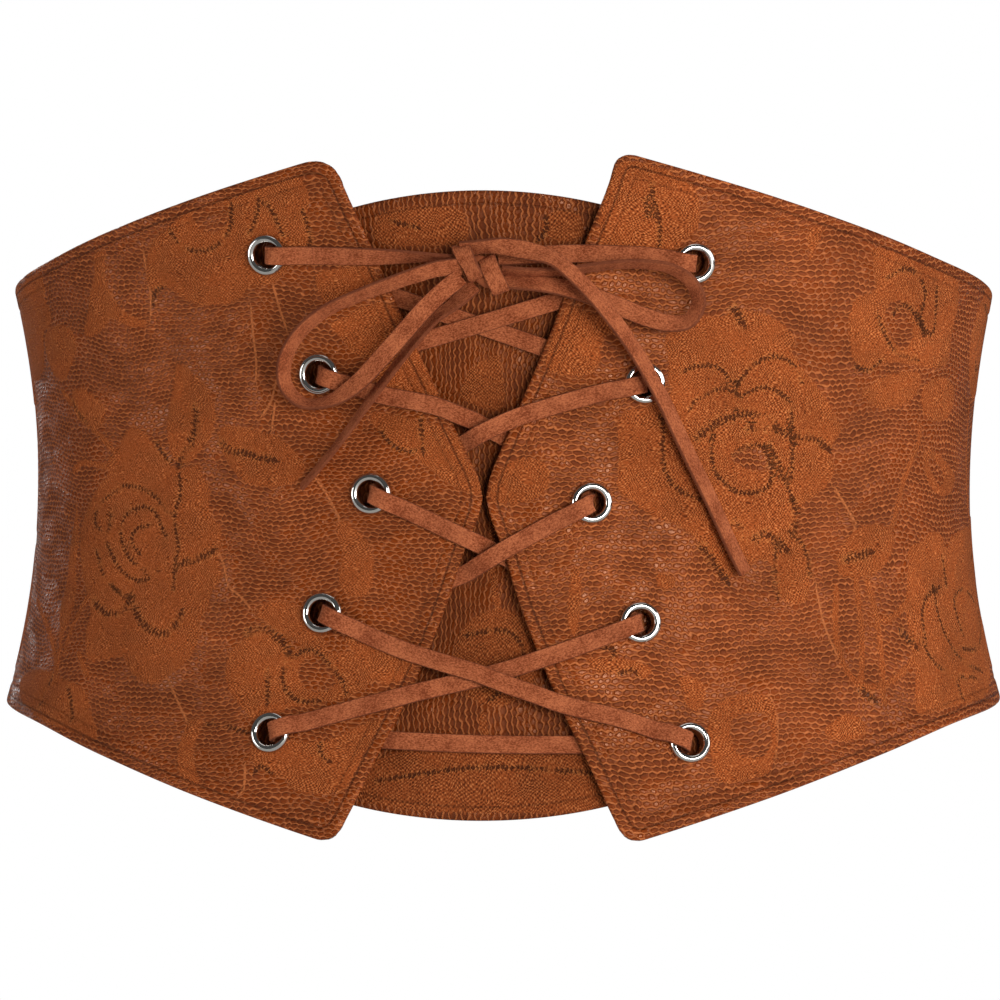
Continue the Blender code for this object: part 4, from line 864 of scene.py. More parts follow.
def eyeletFrame(side, row):
    s, z = eyeletPlace(side, row)

    def clothAt(ds, dz):
        return Vector(place(s + ds, z + dz, panelRise(side, s + ds, z + dz)))

    reach = eyeletRing["radius"]
    around = clothAt(reach, 0) - clothAt(-reach, 0)
    up = clothAt(0, reach) - clothAt(0, -reach)
    out = around.cross(up).normalized()
    xAxis = around.normalized()
    yAxis = out.cross(xAxis).normalized()
    xAxis = yAxis.cross(out)
    frameMatrix = Matrix((xAxis, yAxis, out)).transposed().to_4x4()
    frameMatrix.translation = clothAt(0, 0)
    return frameMatrix


# Underside and top of the rim, then top and underside of the washer
def eyeletHeights(side, row):
    s, z = eyeletPlace(side, row)
    toFrame = np.array(eyeletFrame(side, row).inverted())
    angles = np.arange(eyeletRing["samples"]) * math.tau / eyeletRing["samples"]
    aroundS = s + eyeletRing["radius"] * np.cos(angles)
    aroundZ = z + eyeletRing["radius"] * np.sin(angles)
    rise = panelRise(side, aroundS, aroundZ)
    outer = place(aroundS, aroundZ, rise) @ toFrame[2, :3] + toFrame[2, 3]
    inner = place(aroundS, aroundZ, rise - waist["wall"]) @ toFrame[2, :3] + toFrame[2, 3]
    underRim = max(0.0, float(outer.max())) + eyeletRing["gap"]
    washerTop = min(-waist["wall"], float(inner.min())) - eyeletRing["gap"]
    return underRim, underRim + eyeletRing["rise"], washerTop, washerTop - eyeletRing["washerThick"]


def eyeletPiece(side, row, metal):
    underRim, top, washerTop, washerUnder = eyeletHeights(side, row)
    inside, rise, bevel = eyeletRing["holeRadius"], top - underRim, eyeletRing["bevel"]
    outside = inside + eyeletRing["barrelWall"]
    rim = eyeletRing["radius"] - inside
    flatter, power = eyeletRing["rimRound"]
    profile = [(inside, washerUnder + bevel), (inside, washerTop), (inside, underRim)]
    for degrees in range(0, 181, eyeletRing["rimStep"]):
        turn = math.radians(degrees)
        bulge = flatter * math.sin(turn) ** power + (1 - flatter) * math.sin(turn)
        foot = eyeletRing["rimFoot"]
        share = 0.5 - 0.5 * math.cos(turn)
        profile.append((inside + rim * share, underRim + rise * (foot + (1 - foot) * bulge)))
    washer = eyeletRing["washerRadius"]
    profile += [(eyeletRing["radius"] - bevel, underRim), (outside, underRim), (outside, washerTop),
                (washer - bevel, washerTop), (washer, washerTop - bevel), (washer, washerUnder + bevel),
                (washer - bevel, washerUnder), (inside + bevel, washerUnder)]
    count = eyeletRing["segments"]
    points, faces = [], []
    for i in range(count):
        angle = math.tau * i / count
        points += [(r * math.cos(angle), r * math.sin(angle), h) for r, h in profile]
        for j in range(len(profile)):
            a, b = i * len(profile), (i + 1) % count * len(profile)
            k = (j + 1) % len(profile)
            faces.append((a + j, b + j, b + k, a + k))
    mesh = bpy.data.meshes.new(f"eyelet_ring_{side}_{row + 1}")
    mesh.from_pydata(points, [], faces)
    mesh.transform(eyeletFrame(side, row))
    mesh.shade_smooth()
    mesh.set_sharp_from_angle(angle=math.radians(eyeletRing["sharpAngle"]))
    addPiece(linkData(mesh, metal), f"eyelet_{side}_{row + 1}")


# Flat suede lace. A run leaves one eyelet and reaches the next; between them it passes
# points of: share of the run, shift up, stand from the cloth, roll in degrees
lace = {
    "width": 0.0046,
    "thick": 0.0010,
    "corner": 0.00028,
    "ringStep": 0.0048,
    "fineStep": 0.0012,
    "turnRadius": 0.0028,
    "turnReach": 0.0085,
    "sharpAngle": 60,
    "nearStand": {"front": 0.0012, "back": -0.0026},
    "rimClearance": 0.00054,
    "steepStep": 0.0010,
    "rimLies": {"front": ((0.90, 0.0), (1.24, -0.0005)), "back": ((1.04, 0.0), (1.36, 0.0002))},
}
knot = {
    "shift": 0.0005,
    "height": 0.0576,
    "stand": 0.0034,
    "lean": -55.0,
    "endLeft": (-0.0050, 0.0027),
    "endRight": (0.0039, 0.0024),
    "strandStep": 0.0060,
    "wrapStep": 0.0006,
}
laceRuns = (
    (None, "front", ("left", 0), "front",
     ((0.00, 0.0000, 0.0009, -78), (0.124, 0.0000, 0.0007, -68), (0.289, 0.0000, 0.0010, -45),
      (0.444, 0.0000, 0.0019, -24), (0.62, 0.0000, 0.0013, -8), (0.785, 0.0000, 0.0009, 0))),
    (("left", 0), "back", ("right", 1), "back",
     ((0.187, -0.0004, -0.0025, 0), (0.39, -0.0003, -0.0032, 0), (0.492, -0.0003, -0.0034, 0),
      (0.644, -0.0002, -0.0034, 0), (0.797, -0.0001, -0.0026, 0))),
    (("right", 1), "front", ("left", 2), "back",
     ((0.159, 0.0020, 0.0008, 0), (0.308, 0.0033, 0.0008, 0), (0.453, 0.0042, 0.0009, 0),
      (0.536, 0.0041, 0.0013, 0), (0.596, 0.0037, 0.0011, 0), (0.625, 0.0033, -0.0008, 0),
      (0.655, 0.0030, -0.0027, 0), (0.725, 0.0022, -0.0028, 0), (0.814, 0.0014, -0.0025, 0))),
    (("left", 2), "front", ("right", 3), "back",
     ((0.211, 0.0004, 0.0008, 0), (0.303, 0.0004, 0.0010, 0), (0.376, 0.0005, 0.0011, 0),
      (0.417, 0.0005, -0.0008, 0), (0.457, 0.0005, -0.0024, 0), (0.516, 0.0005, -0.0028, 0),
      (0.669, 0.0006, -0.0025, 0), (0.822, 0.0007, -0.0025, 0))),
    (("right", 3), "front", ("left", 4), "front",
     ((0.163, -0.0011, 0.0008, 0), (0.28, -0.0015, 0.0010, 0), (0.346, -0.0016, 0.0001, 0),
      (0.442, -0.0014, -0.0003, 0), (0.528, -0.0010, 0.0000, 0), (0.599, -0.0007, 0.0008, 0),
      (0.791, -0.0002, 0.0008, 0))),
    (("left", 4), "back", ("right", 4), "back",
     ((0.158, -0.0003, -0.0025, 0), (0.514, -0.0010, -0.0026, 0), (0.869, -0.0003, -0.0025, 0))),
    (("right", 4), "front", ("left", 3), "front",
     ((0.179, 0.0001, 0.0009, 0), (0.331, -0.0012, 0.0011, 0), (0.413, -0.0011, 0.0016, 0),
      (0.484, -0.0011, 0.0016, 0), (0.552, -0.0008, 0.0017, 0), (0.626, -0.0011, 0.0016, 0),
      (0.697, -0.0014, 0.0011, 0), (0.768, -0.0016, 0.0010, 0), (0.859, -0.0012, 0.0008, 0))),
    (("left", 3), "back", ("right", 2), "front",
     ((0.233, -0.0026, -0.0025, 0), (0.435, -0.0044, -0.0027, 0), (0.531, -0.0046, -0.0025, 0),
      (0.596, -0.0039, 0.0009, 0), (0.657, -0.0031, 0.0018, 0), (0.727, -0.0023, 0.0014, 0),
      (0.818, -0.0014, 0.0008, 0), (0.87, -0.0010, 0.0008, 0))),
    (("right", 2), "back", ("left", 1), "front",
     ((0.135, 0.0033, -0.0025, 0), (0.269, 0.0056, -0.0026, 0), (0.336, 0.0061, -0.0025, 0),
      (0.393, 0.0063, -0.0022, 0), (0.435, 0.0065, -0.0018, 0), (0.472, 0.0065, 0.0010, 0),
      (0.537, 0.0063, 0.0012, 0), (0.609, 0.0053, 0.0010, 0), (0.779, 0.0021, 0.0008, 0))),
    (("left", 1), "back", ("right", 0), "back",
     ((0.143, 0.0002, -0.0025, 0), (0.274, 0.0002, -0.0024, 0), (0.365, 0.0001, -0.0019, 0),
      (0.447, 0.0001, -0.0016, 0), (0.526, 0.0001, -0.0019, 0), (0.617, 0.0001, -0.0024, 0),
      (0.849, 0.0000, -0.0025, 0))),
    (("right", 0), "front", None, "front",
     ((0.22, 0.0015, 0.0009, 0), (0.50, 0.0018, 0.0009, 0), (0.62, 0.0017, 0.0009, 0),
      (0.74, 0.0014, 0.0012, 14), (0.87, 0.0008, 0.0014, 32), (1.00, 0.0000, 0.0014, 50))),
)
# Bow strands: from the knot's middle along s and z, stand from the waist form, roll
bowStrands = {
    "bow_loop_left": (
        (-0.0045, 0.0008, 0.0042, -18), (-0.0100, 0.0004, 0.0056, -28), (-0.0164, -0.0016, 0.0066, -38),
        (-0.0238, -0.0043, 0.0076, -48), (-0.0309, -0.0072, 0.0082, -54), (-0.0372, -0.0104, 0.0086, -58),
        (-0.0423, -0.0147, 0.0086, -60), (-0.0457, -0.0190, 0.0082, -62), (-0.0477, -0.0234, 0.0074, -63),
        (-0.0483, -0.0278, 0.0064, -65), (-0.0468, -0.0316, 0.0054, -68), (-0.0435, -0.0337, 0.0050, -68),
        (-0.0394, -0.0335, 0.0050, -58), (-0.0346, -0.0317, 0.0058, -35), (-0.0298, -0.0284, 0.0068, -14),
        (-0.0241, -0.0225, 0.0076, -4), (-0.0186, -0.0162, 0.0078, 0), (-0.0138, -0.0104, 0.0072, 0),
        (-0.0091, -0.0055, 0.0058, -4), (-0.0047, -0.0018, 0.0044, -4),
    ),
    "bow_loop_right": (
        (0.0047, -0.0003, 0.0036, 60), (0.0113, -0.0008, 0.0036, 62), (0.0183, -0.0005, 0.0042, 64),
        (0.0251, 0.0006, 0.0054, 64), (0.0318, 0.0016, 0.0066, 63), (0.0387, 0.0016, 0.0074, 62),
        (0.0445, 0.0004, 0.0076, 61), (0.0483, -0.0024, 0.0074, 60), (0.0506, -0.0060, 0.0070, 60),
        (0.0510, -0.0096, 0.0064, 60), (0.0494, -0.0124, 0.0058, 52), (0.0462, -0.0135, 0.0052, 36),
        (0.0412, -0.0126, 0.0048, 12), (0.0351, -0.0103, 0.0046, 0), (0.0291, -0.0078, 0.0044, 2),
        (0.0231, -0.0056, 0.0042, 20), (0.0172, -0.0042, 0.0039, 38), (0.0113, -0.0036, 0.0036, 50),
        (0.0052, -0.0032, 0.0034, 56),
    ),
    "lace_tail_left": (
        (-0.0018, -0.0039, 0.0020, 20), (-0.0056, -0.0079, 0.0026, 48), (-0.0105, -0.0117, 0.0036, 60),
        (-0.0157, -0.0175, 0.0040, 62), (-0.0210, -0.0244, 0.0046, 62), (-0.0258, -0.0308, 0.0049, 62),
        (-0.0311, -0.0379, 0.0048, 62), (-0.0366, -0.0449, 0.0042, 62), (-0.0415, -0.0505, 0.0038, 62),
        (-0.0455, -0.0548, 0.0036, 62),
    ),
    "lace_tail_right": (
        (-0.0046, 0.0050, 0.0030, 30), (0.0000, 0.0058, 0.0044, 42), (0.0050, 0.0060, 0.0060, 20),
        (0.0107, 0.0050, 0.0078, -16),
        (0.0157, 0.0036, 0.0094, -42), (0.0193, 0.0009, 0.0102, -42), (0.0235, -0.0034, 0.0101, -38),
        (0.0274, -0.0080, 0.0094, -36), (0.0309, -0.0124, 0.0084, -36), (0.0364, -0.0201, 0.0066, -36),
        (0.0410, -0.0277, 0.0058, -36), (0.0443, -0.0333, 0.0048, -34), (0.0507, -0.0455, 0.0032, -32),
        (0.0573, -0.0581, 0.0024, -30), (0.0630, -0.0705, 0.0022, -30), (0.0659, -0.0766, 0.0022, -30),
    ),
}


def turnRings(side, row, face, heading):
    frameMatrix = eyeletFrame(side, row)
    _, top, _, washerUnder = eyeletHeights(side, row)
    clear = lace["rimClearance"] + lace["thick"] / 2
    if face == "front":
        level, outward, rim = top + clear, 1, eyeletRing["radius"]
    else:
        level, outward, rim = washerUnder - clear, -1, eyeletRing["washerRadius"]
    middle = level - outward * lace["turnRadius"]
    across = Vector((heading[0], heading[1], 0.0)).normalized()
    out = frameMatrix.to_3x3() @ Vector((0, 0, 1))
    width = frameMatrix.to_3x3() @ Vector((0, 0, 1)).cross(across)
    path = []
    for degrees in (30, 60, 90):
        turn = math.radians(degrees)
        path.append((lace["turnRadius"] * (1 - math.cos(turn)),
                     middle + outward * lace["turnRadius"] * math.sin(turn)))
    path += [(rim * share, level + rise) for share, rise in lace["rimLies"][face]]
    return [(frameMatrix @ (across * r + Vector((0, 0, h))), out, width, 0) for r, h in path]


def holeRing(side, row, widthIn, widthOut):
    frameMatrix = eyeletFrame(side, row)
    _, top, _, washerUnder = eyeletHeights(side, row)
    out = frameMatrix.to_3x3() @ Vector((0, 0, 1))
    if widthIn.dot(widthOut) < 0:
        widthOut = -widthOut
    middle = frameMatrix @ Vector((0, 0, (top + washerUnder) / 2))
    return (middle, out, (widthIn + widthOut).normalized(), 0)


def fromKnot(offset):
    return knot["shift"] + offset[0], knot["height"] + offset[1]


def runRings(run):
    start, leaves, end, reaches, points = run
    startAt = eyeletPlace(*start) if start else fromKnot(knot["endLeft"])
    endAt = eyeletPlace(*end) if end else fromKnot(knot["endRight"])
    length = math.dist(startAt, endAt)
    rows = []
    if start:
        share, near = lace["turnReach"] / length, points[0]
        rows.append((share, near[1] * share / near[0], lace["nearStand"][leaves], 0.0))
    rows += points
    if end:
        share, near = 1 - lace["turnReach"] / length, points[-1]
        shift = near[1] * (1 - share) / (1 - near[0])
        rows.append((share, shift, lace["nearStand"][reaches], 0.0))
    controls = [(share, startAt[0] + (endAt[0] - startAt[0]) * share,
                 startAt[1] + (endAt[1] - startAt[1]) * share + shift, stand, roll)
                for share, shift, stand, roll in rows]
    first, last = controls[0][0], controls[-1][0]
    steps = max(2, round((last - first) * length / lace["ringStep"]))
    shares = {first + (last - first) * i / steps for i in range(steps + 1)}
    steep = set()
    for before, after in zip(controls, controls[1:]):
        if abs(after[3] - before[3]) > lace["steepStep"]:
            steep |= {before[0], after[0]} - {first, last}
    for share in sorted(steep):
        shares.discard(min(shares - steep - {first, last}, key=lambda value: abs(value - share)))
        shares.add(share)
    rings = []
    for share in sorted(shares):
        s, z, stand, roll = smoothRow(controls, share)
        rings.append((Vector(place(s, z, clothRise(s, z) + stand)), Vector(formNormal(s, z)), None, roll))
    headingOut = (controls[0][1] - startAt[0], controls[0][2] - startAt[1])
    headingIn = (controls[-1][1] - endAt[0], controls[-1][2] - endAt[1])
    return rings, headingOut, headingIn


def laceRings():
    rings, arrival = [], None
    for run in laceRuns:
        middle, headingOut, headingIn = runRings(run)
        start, leaves, end, reaches, _ = run
        if start:
            leaving = turnRings(*start, leaves, headingOut)
            rings += [holeRing(*start, arrival[-1][2], leaving[0][2])] + leaving
        rings += middle
        if end:
            arrival = turnRings(*end, reaches, headingIn)[::-1]
            rings += arrival
    return rings


def strandRings(points):
    rows, length, before = [], 0.0, None
    for offsetS, offsetZ, stand, roll in points:
        s, z = fromKnot((offsetS, offsetZ))
        here = place(s, z, stand)
        length += 0.0 if before is None else float(np.linalg.norm(here - before))
        before = here
        rows.append((length, s, z, stand, roll))
    steps = round(length / knot["strandStep"])
    rings = []
    for i in range(steps + 1):
        s, z, stand, roll = smoothRow(rows, length * i / steps)
        rings.append((Vector(place(s, z, stand)), Vector(formNormal(s, z)), None, roll))
    return rings


# Middle and width direction of each ring, as the lace lies
def laceFrames(rings):
    frames, widthBefore = [], None
    last = len(rings) - 1
    for i, (middle, facing, width, roll) in enumerate(rings):
        travel = (rings[min(i + 1, last)][0] - rings[max(i - 1, 0)][0]).normalized()
        if width is None:
            across = facing.cross(travel).normalized()
            lift = travel.cross(across).normalized()
            turn = math.radians(roll)
            width = across * math.cos(turn) + lift * math.sin(turn)
        if widthBefore is not None and width.dot(widthBefore) < 0:
            width = -width
        widthBefore = width
        thick = travel.cross(width).normalized()
        frames.append((middle, thick.cross(travel)))
    return frames


def refined(frames, step):
    points = np.array([frame[0] for frame in frames])
    widths = np.array([frame[1] for frame in frames])
    at = lengthsAlong(points)
    rows = np.column_stack((at, points, widths))
    fine = smoothRow(rows, np.linspace(0, at[-1], max(3, round(at[-1] / step))))
    middles, widths = fine[:, :3], fine[:, 3:]
    return middles, widths / np.linalg.norm(widths, axis=1, keepdims=True)


def laceSection():
    half, thick, corner = lace["width"] / 2, lace["thick"] / 2, lace["corner"]
    section = []
    wide, high = half - corner, thick - corner
    corners = ((wide, high, 0), (-wide, high, 90), (-wide, -high, 180), (wide, -high, 270))
    for centreX, centreY, start in corners:
        for degrees in (0, 30, 60, 90):
            turn = math.radians(start + degrees)
            section.append((centreX + corner * math.cos(turn), centreY + corner * math.sin(turn)))
        if start in (0, 180):
            sign = 1 if start == 0 else -1
            section += [(half * share * sign, thick * sign) for share in (0.5, 0.0, -0.5)]
    return section


def lacePiece(name, rings, suede, step=lace["fineStep"]):
    middles, widths = refined(laceFrames(rings), step)
    travel = np.gradient(middles, axis=0)
    travel /= np.linalg.norm(travel, axis=1, keepdims=True)
    thicks = np.cross(travel, widths)
    thicks /= np.linalg.norm(thicks, axis=1, keepdims=True)
    widths = np.cross(thicks, travel)
    section = laceSection()
    across = np.array(section)
    sideways = across[None, :, :1] * widths[:, None, :]
    points = middles[:, None, :] + sideways + across[None, :, 1:] * thicks[:, None, :]
    count, sides = len(middles), len(section)
    faces = []
    for i in range(count - 1):
        for j in range(sides):
            k = (j + 1) % sides
            faces.append((i * sides + j, i * sides + k, (i + 1) * sides + k, (i + 1) * sides + j))
    faces.append(tuple(range(sides))[::-1])
    faces.append(tuple((count - 1) * sides + j for j in range(sides)))
    mesh = bpy.data.meshes.new(name)
    mesh.from_pydata(points.reshape(-1, 3).tolist(), [], faces)
    mesh.shade_smooth()
    mesh.set_sharp_from_angle(angle=math.radians(lace["sharpAngle"]))
    piece = linkData(mesh, suede)
    lengths = lengthsAlong(middles)
    laid = np.zeros((count, sides, 3))
    laid[..., 0] = across[None, :, 0] * 1000
    laid[..., 1] = lengths[:, None] * 1000
    laid[..., 2] = across[None, :, 1] * 1000
    storeVector(piece, "cloth", laid.reshape(-1, 3))
    return piece, middles, float(lengths[-1])


# The knot: two wraps of the lace side by side over a core, each given as points from the
# knot's middle along s and z with their stand, and the lean of its width in degrees
knotWraps = (
    (((-0.0046, 0.0034, 0.0016, -8.0), (-0.0048, 0.0052, 0.0030, -4.0), (-0.0043, 0.0048, 0.0052, 6.0),
      (-0.0030, 0.0022, 0.0060, 24.0), (-0.0017, -0.0006, 0.0060, 30.0), (-0.0010, -0.0022, 0.0048, 30.0),
      (-0.0008, -0.0020, 0.0028, 30.0)), 48.0),
    (((0.0010, 0.0012, 0.0022, 20.0), (0.0012, 0.0028, 0.0036, 20.0), (0.0016, 0.0020, 0.0058, 22.0),
      (0.0026, -0.0006, 0.0067, 23.0), (0.0039, -0.0036, 0.0066, 23.0), (0.0046, -0.0054, 0.0054, 20.0),
      (0.0046, -0.0050, 0.0030, 20.0)), 0.0),
)
knotCore = {"length": 0.0092, "width": 0.0062, "thick": 0.0048, "shift": (0.0006, -0.0006)}


def wrapRings(points, twist):
    rings = []
    for i, (offsetS, offsetZ, stand, lean) in enumerate(points):
        s, z = fromKnot((offsetS, offsetZ))
        facing = Vector(formNormal(s, z))
        turn = math.radians(lean)
        width = Vector((math.cos(turn), 0, math.sin(turn)))
        width = (width - facing * width.dot(facing)).normalized()
        tip = math.radians(twist) * i / (len(points) - 1)
        rings.append((Vector(place(s, z, stand)), facing, width * math.cos(tip) + facing * math.sin(tip), 0))
    return rings


def knotPiece(suede):
    build = bmesh.new()
    bmesh.ops.create_uvsphere(build, u_segments=48, v_segments=24, radius=1)
    for vert in build.verts:
        x, y, z = vert.co
        vert.co = (x * knotCore["length"] / 2, y * knotCore["width"] / 2, z * knotCore["thick"] / 2)
    out = Vector(formNormal(knot["shift"], knot["height"]))
    xAxis = Vector((1, 0, 0))
    frameMatrix = Matrix((xAxis, out.cross(xAxis), out)).transposed().to_4x4()
    s, z = fromKnot(knotCore["shift"])
    frameMatrix.translation = Vector(place(s, z, knot["stand"]))
    build.transform(frameMatrix @ Matrix.Rotation(math.radians(knot["lean"]), 4, "Z"))
    mesh = builtMesh(build, "bow_knot_core")
    mesh.shade_smooth()
    core = linkData(mesh, suede)
    storeVector(core, "cloth", np.zeros((len(mesh.vertices), 3)))
    pieces = [core]
    for i, (points, twist) in enumerate(knotWraps):
        rings = wrapRings(points, twist)
        pieces.append(lacePiece(f"bow_knot_wrap_{i + 1}", rings, suede, knot["wrapStep"])[0])
    for piece in pieces:
        addPiece(piece, "bow_knot")

# Lace bonded on leather: matt woven motifs over a hexagonal net of cotton thread, and
# between the threads small cushions of softly glossy leather. Lengths in millimetres
laceLeather = {
    # scale and detail of the fine, middling, patchy and coarse noise
    "noises": ((1.1, 3.0), (0.22, 2.0), (0.12, 3.0), (0.05, 2.0)),
    "netWidth": 1.85,
    "threadWidth": 0.28,
    "heavyThread": (0.66, 0.42),
    "cushion": 0.48,
    "sway": (4.0, 2.4, 0.0),
    # dark and light leather; the light tone comes in random patches and, as painted light, on the lower side
    # of each net cell, the dark one under each thread as painted shadow
    "leather": ("501D08", "863A12"),
    "netThread": ("BE6C3C", 0.9),
    # woven tones: painted shade in the gaps, the thread's own colour, and painted highlight on raised
    # stitches
    "woven": ("5C240A", "98481E", "CE7A44"),
    # holes: the leather seen through them, darkened further as painted shade
    "hole": ("3E1608", 0.85),
    "holeThread": ("CC7E42", 0.4),
    # hem lines: painted shade in their grooves
    "hem": ("3E1608", 0.7),
    "stitchWide": 0.78,
    "stitchHigh": 1.24,
    "stitchDepth": (0.28, 0.56),
    "dash": (0.9, 2.3, 1),
    "holePitch": 1.15,
    "holeLength": 0.42,
    "holeHalf": 0.60,
    "hemLines": ((2.6, 0.85), (5.2, 0.35)),
    "specular": 0.36,
    "gloss": "FFC6A0",
    "leatherRough": (0.66, 0.23),
    "netRough": 0.3,
    "wovenRough": 0.84,
    "netRise": 0.26,
    "cushionRise": 0.85,
    "stitchRise": (0.26, 0.22),
    "relief": {"hole": -0.4, "hem": -0.35, "coarse": 2.4, "patchy": 0.9},
    "upright": 0.32,
    # shade scales the whole colour; below 1 it is painted shade
    "shade": 1.0,
}


def laceLeatherMaterial(name, use):
    material, tree, shader = newMaterial(name, 0.5, Specular_IOR_Level=use["specular"])
    shader.inputs["Specular Tint"].default_value = linearColour(use["gloss"])
    cloth, rows, edges = (addNode(tree, "ShaderNodeAttribute", attribute_name=kind).outputs["Vector"]
                          for kind in ("cloth", "rows", "edge"))
    rowSide, rowRun, rowApart = addNode(tree, splitNode, {0: rows}).outputs
    edgeIn, motifIn, _ = addNode(tree, splitNode, {0: edges}).outputs
    threadApart = addNode(tree, splitNode, {0: cloth}).outputs[2]
    flat = addNode(tree, vectorNode, {0: cloth, 1: (1, 1, 0)}, operation="MULTIPLY")
    fine, middling, patchy, coarse = (
        addNode(tree, noiseNode, {"Vector": flat, "Scale": scale, "Detail": detail})
        for scale, detail in use["noises"])
    fineAbout = addNode(tree, mathNode, {0: fine, 1: 0.5}, operation="SUBTRACT")
    about = addNode(tree, vectorNode, {0: middling.outputs["Color"], 1: (0.5, 0.5, 0.5)},
                    operation="SUBTRACT")
    sway = addNode(tree, vectorNode, {0: about, 1: use["sway"]}, operation="MULTIPLY")
    strayed = addNode(tree, vectorNode, {0: flat, 1: sway}, operation="ADD")

    # hexagonal net from the nearer of two lattices, its threads out of true
    wide = use["netWidth"]
    cell = (wide / 2, wide * math.sqrt(3) / 2, 1.0)
    less = tuple(-value for value in cell)
    lattices = []
    for shift in ((0, 0, 0), (cell[0], cell[1], 0)):
        local = addNode(tree, vectorNode, {0: strayed, 1: shift}, operation="ADD")
        local = addNode(tree, vectorNode, {0: local, 1: cell, 2: less}, operation="WRAP")
        local = addNode(tree, vectorNode, {0: local, 1: (1, 1, 0)}, operation="MULTIPLY")
        lattices.append((local, addNode(tree, vectorNode, {0: local}, operation="LENGTH").outputs[1]))
    (first, firstFar), (second, secondFar) = lattices
    nearer = addNode(tree, mathNode, {0: firstFar, 1: secondFar}, operation="LESS_THAN")
    local = addNode(tree, mixNode, {0: nearer, 4: second, 5: first}, data_type="VECTOR").outputs[1]
    _, cellUp, _ = addNode(tree, splitNode, {0: local}).outputs
    inCell = addNode(tree, vectorNode, {0: local}, operation="ABSOLUTE")
    cellX, cellY, _ = addNode(tree, splitNode, {0: inCell}).outputs
    slant = addNode(tree, mathNode, {0: cellX, 1: 0.5}, operation="MULTIPLY")
    slant = addNode(tree, mathNode, {0: cellY, 1: 0.866, 2: slant}, operation="MULTIPLY_ADD")
    sideGap = addNode(tree, mathNode, {0: wide / 2, 1: cellX}, operation="SUBTRACT")
    slantGap = addNode(tree, mathNode, {0: wide / 2, 1: slant}, operation="SUBTRACT")
    thread = use["threadWidth"]
    upright = addNode(tree, rangeNode, {0: sideGap, 1: thread * 0.8, 2: thread * 0.2, 4: use["upright"]},
                      **smooth)
    zigzag = addNode(tree, rangeNode, {0: slantGap, 1: thread, 2: thread * 0.3}, **smooth)
    threadApart = addNode(tree, mathNode, {0: threadApart}, operation="ABSOLUTE")
    frayed = addNode(tree, mathNode, {0: fine, 1: 0.5, 2: threadApart}, operation="MULTIPLY_ADD")
    outside, inside = use["heavyThread"]
    heavy = addNode(tree, rangeNode, {0: frayed, 1: outside, 2: inside}, **smooth)
    net = addNode(tree, mathNode, {0: upright, 1: zigzag}, operation="MAXIMUM")
    net = addNode(tree, mathNode, {0: net, 1: heavy}, operation="MAXIMUM")
    cushion = addNode(tree, mathNode, {0: sideGap, 1: slantGap}, operation="MINIMUM")
    cushion = addNode(tree, mathNode, {0: cushion, 1: use["cushion"]}, operation="MINIMUM")

    # woven motifs with ragged edges, in staggered stitches between frayed dashes
    ragged = addNode(tree, mathNode, {0: fineAbout, 1: 2.4, 2: motifIn}, operation="MULTIPLY_ADD")
    motif = addNode(tree, rangeNode, {0: ragged, 1: -0.2, 2: 0.3}, **smooth)
    weaveX, weaveY, _ = addNode(tree, splitNode, {0: strayed}).outputs
    waves = []
    for run, pitch, fray in ((weaveX, use["stitchWide"], 3.0), (weaveY, use["stitchHigh"], 2.4)):
        wave = addNode(tree, mathNode, {0: run, 1: math.tau / pitch}, operation="MULTIPLY")
        wave = addNode(tree, mathNode, {0: fine, 1: fray, 2: wave}, operation="MULTIPLY_ADD")
        waves.append(addNode(tree, mathNode, {0: wave}, operation="SINE"))
    stitches = addNode(tree, mathNode, {0: waves[0], 1: waves[1]}, operation="MULTIPLY")
    squashed = addNode(tree, vectorNode, {0: strayed, 1: use["dash"]}, operation="MULTIPLY")
    dashes = addNode(tree, noiseNode, {"Vector": squashed, "Scale": 0.95, "Detail": 2.0})
    dashes = addNode(tree, rangeNode, {0: dashes, 1: 0.3, 2: 0.7, 3: -0.30, 4: 0.30})
    shallow, steep = use["stitchDepth"]
    depth = addNode(tree, rangeNode, {0: patchy, 1: 0.35, 2: 0.65, 3: shallow, 4: steep})
    weave = addNode(tree, mathNode, {0: stitches, 1: depth, 2: 0.5}, operation="MULTIPLY_ADD")
    weave = addNode(tree, mathNode, {0: weave, 1: dashes}, operation="ADD")

    # openwork rows, each hole between two bars of thread
    jitter = addNode(tree, mathNode, {0: fineAbout, 1: 2.6, 2: rowRun}, operation="MULTIPLY_ADD")
    beat = addNode(tree, mathNode, {0: jitter, 1: use["holePitch"]}, operation="DIVIDE")
    beat = addNode(tree, mathNode, {0: beat}, operation="FRACT")
    beat = addNode(tree, mathNode, {0: beat, 1: 0.5}, operation="SUBTRACT")
    lengthwise = addNode(tree, mathNode, {0: beat, 1: use["holePitch"] / use["holeLength"]},
                         operation="MULTIPLY")
    wander = addNode(tree, mathNode, {0: fineAbout, 1: 2.4, 2: rowSide}, operation="MULTIPLY_ADD")
    across = addNode(tree, mathNode, {0: wander, 1: use["holeHalf"]}, operation="DIVIDE")
    oval = addNode(tree, mathNode, {0: across, 1: across}, operation="MULTIPLY")
    oval = addNode(tree, mathNode, {0: lengthwise, 1: lengthwise, 2: oval}, operation="MULTIPLY_ADD")
    hole = addNode(tree, rangeNode, {0: oval, 1: 1.4, 2: 0.3}, **smooth)
    within = addNode(tree, rangeNode, {0: rowApart, 1: 1.25, 2: 0.85}, **smooth)
    present = addNode(tree, rangeNode, {0: patchy, 1: 0.34, 2: 0.46}, **smooth)
    for limit in (within, present):
        hole = addNode(tree, mathNode, {0: hole, 1: limit}, operation="MULTIPLY")
    bar = addNode(tree, mathNode, {0: beat}, operation="ABSOLUTE")
    bar = addNode(tree, rangeNode, {0: bar, 1: 0.36, 2: 0.46}, **smooth)
    bar = addNode(tree, mathNode, {0: bar, 1: within}, operation="MULTIPLY")
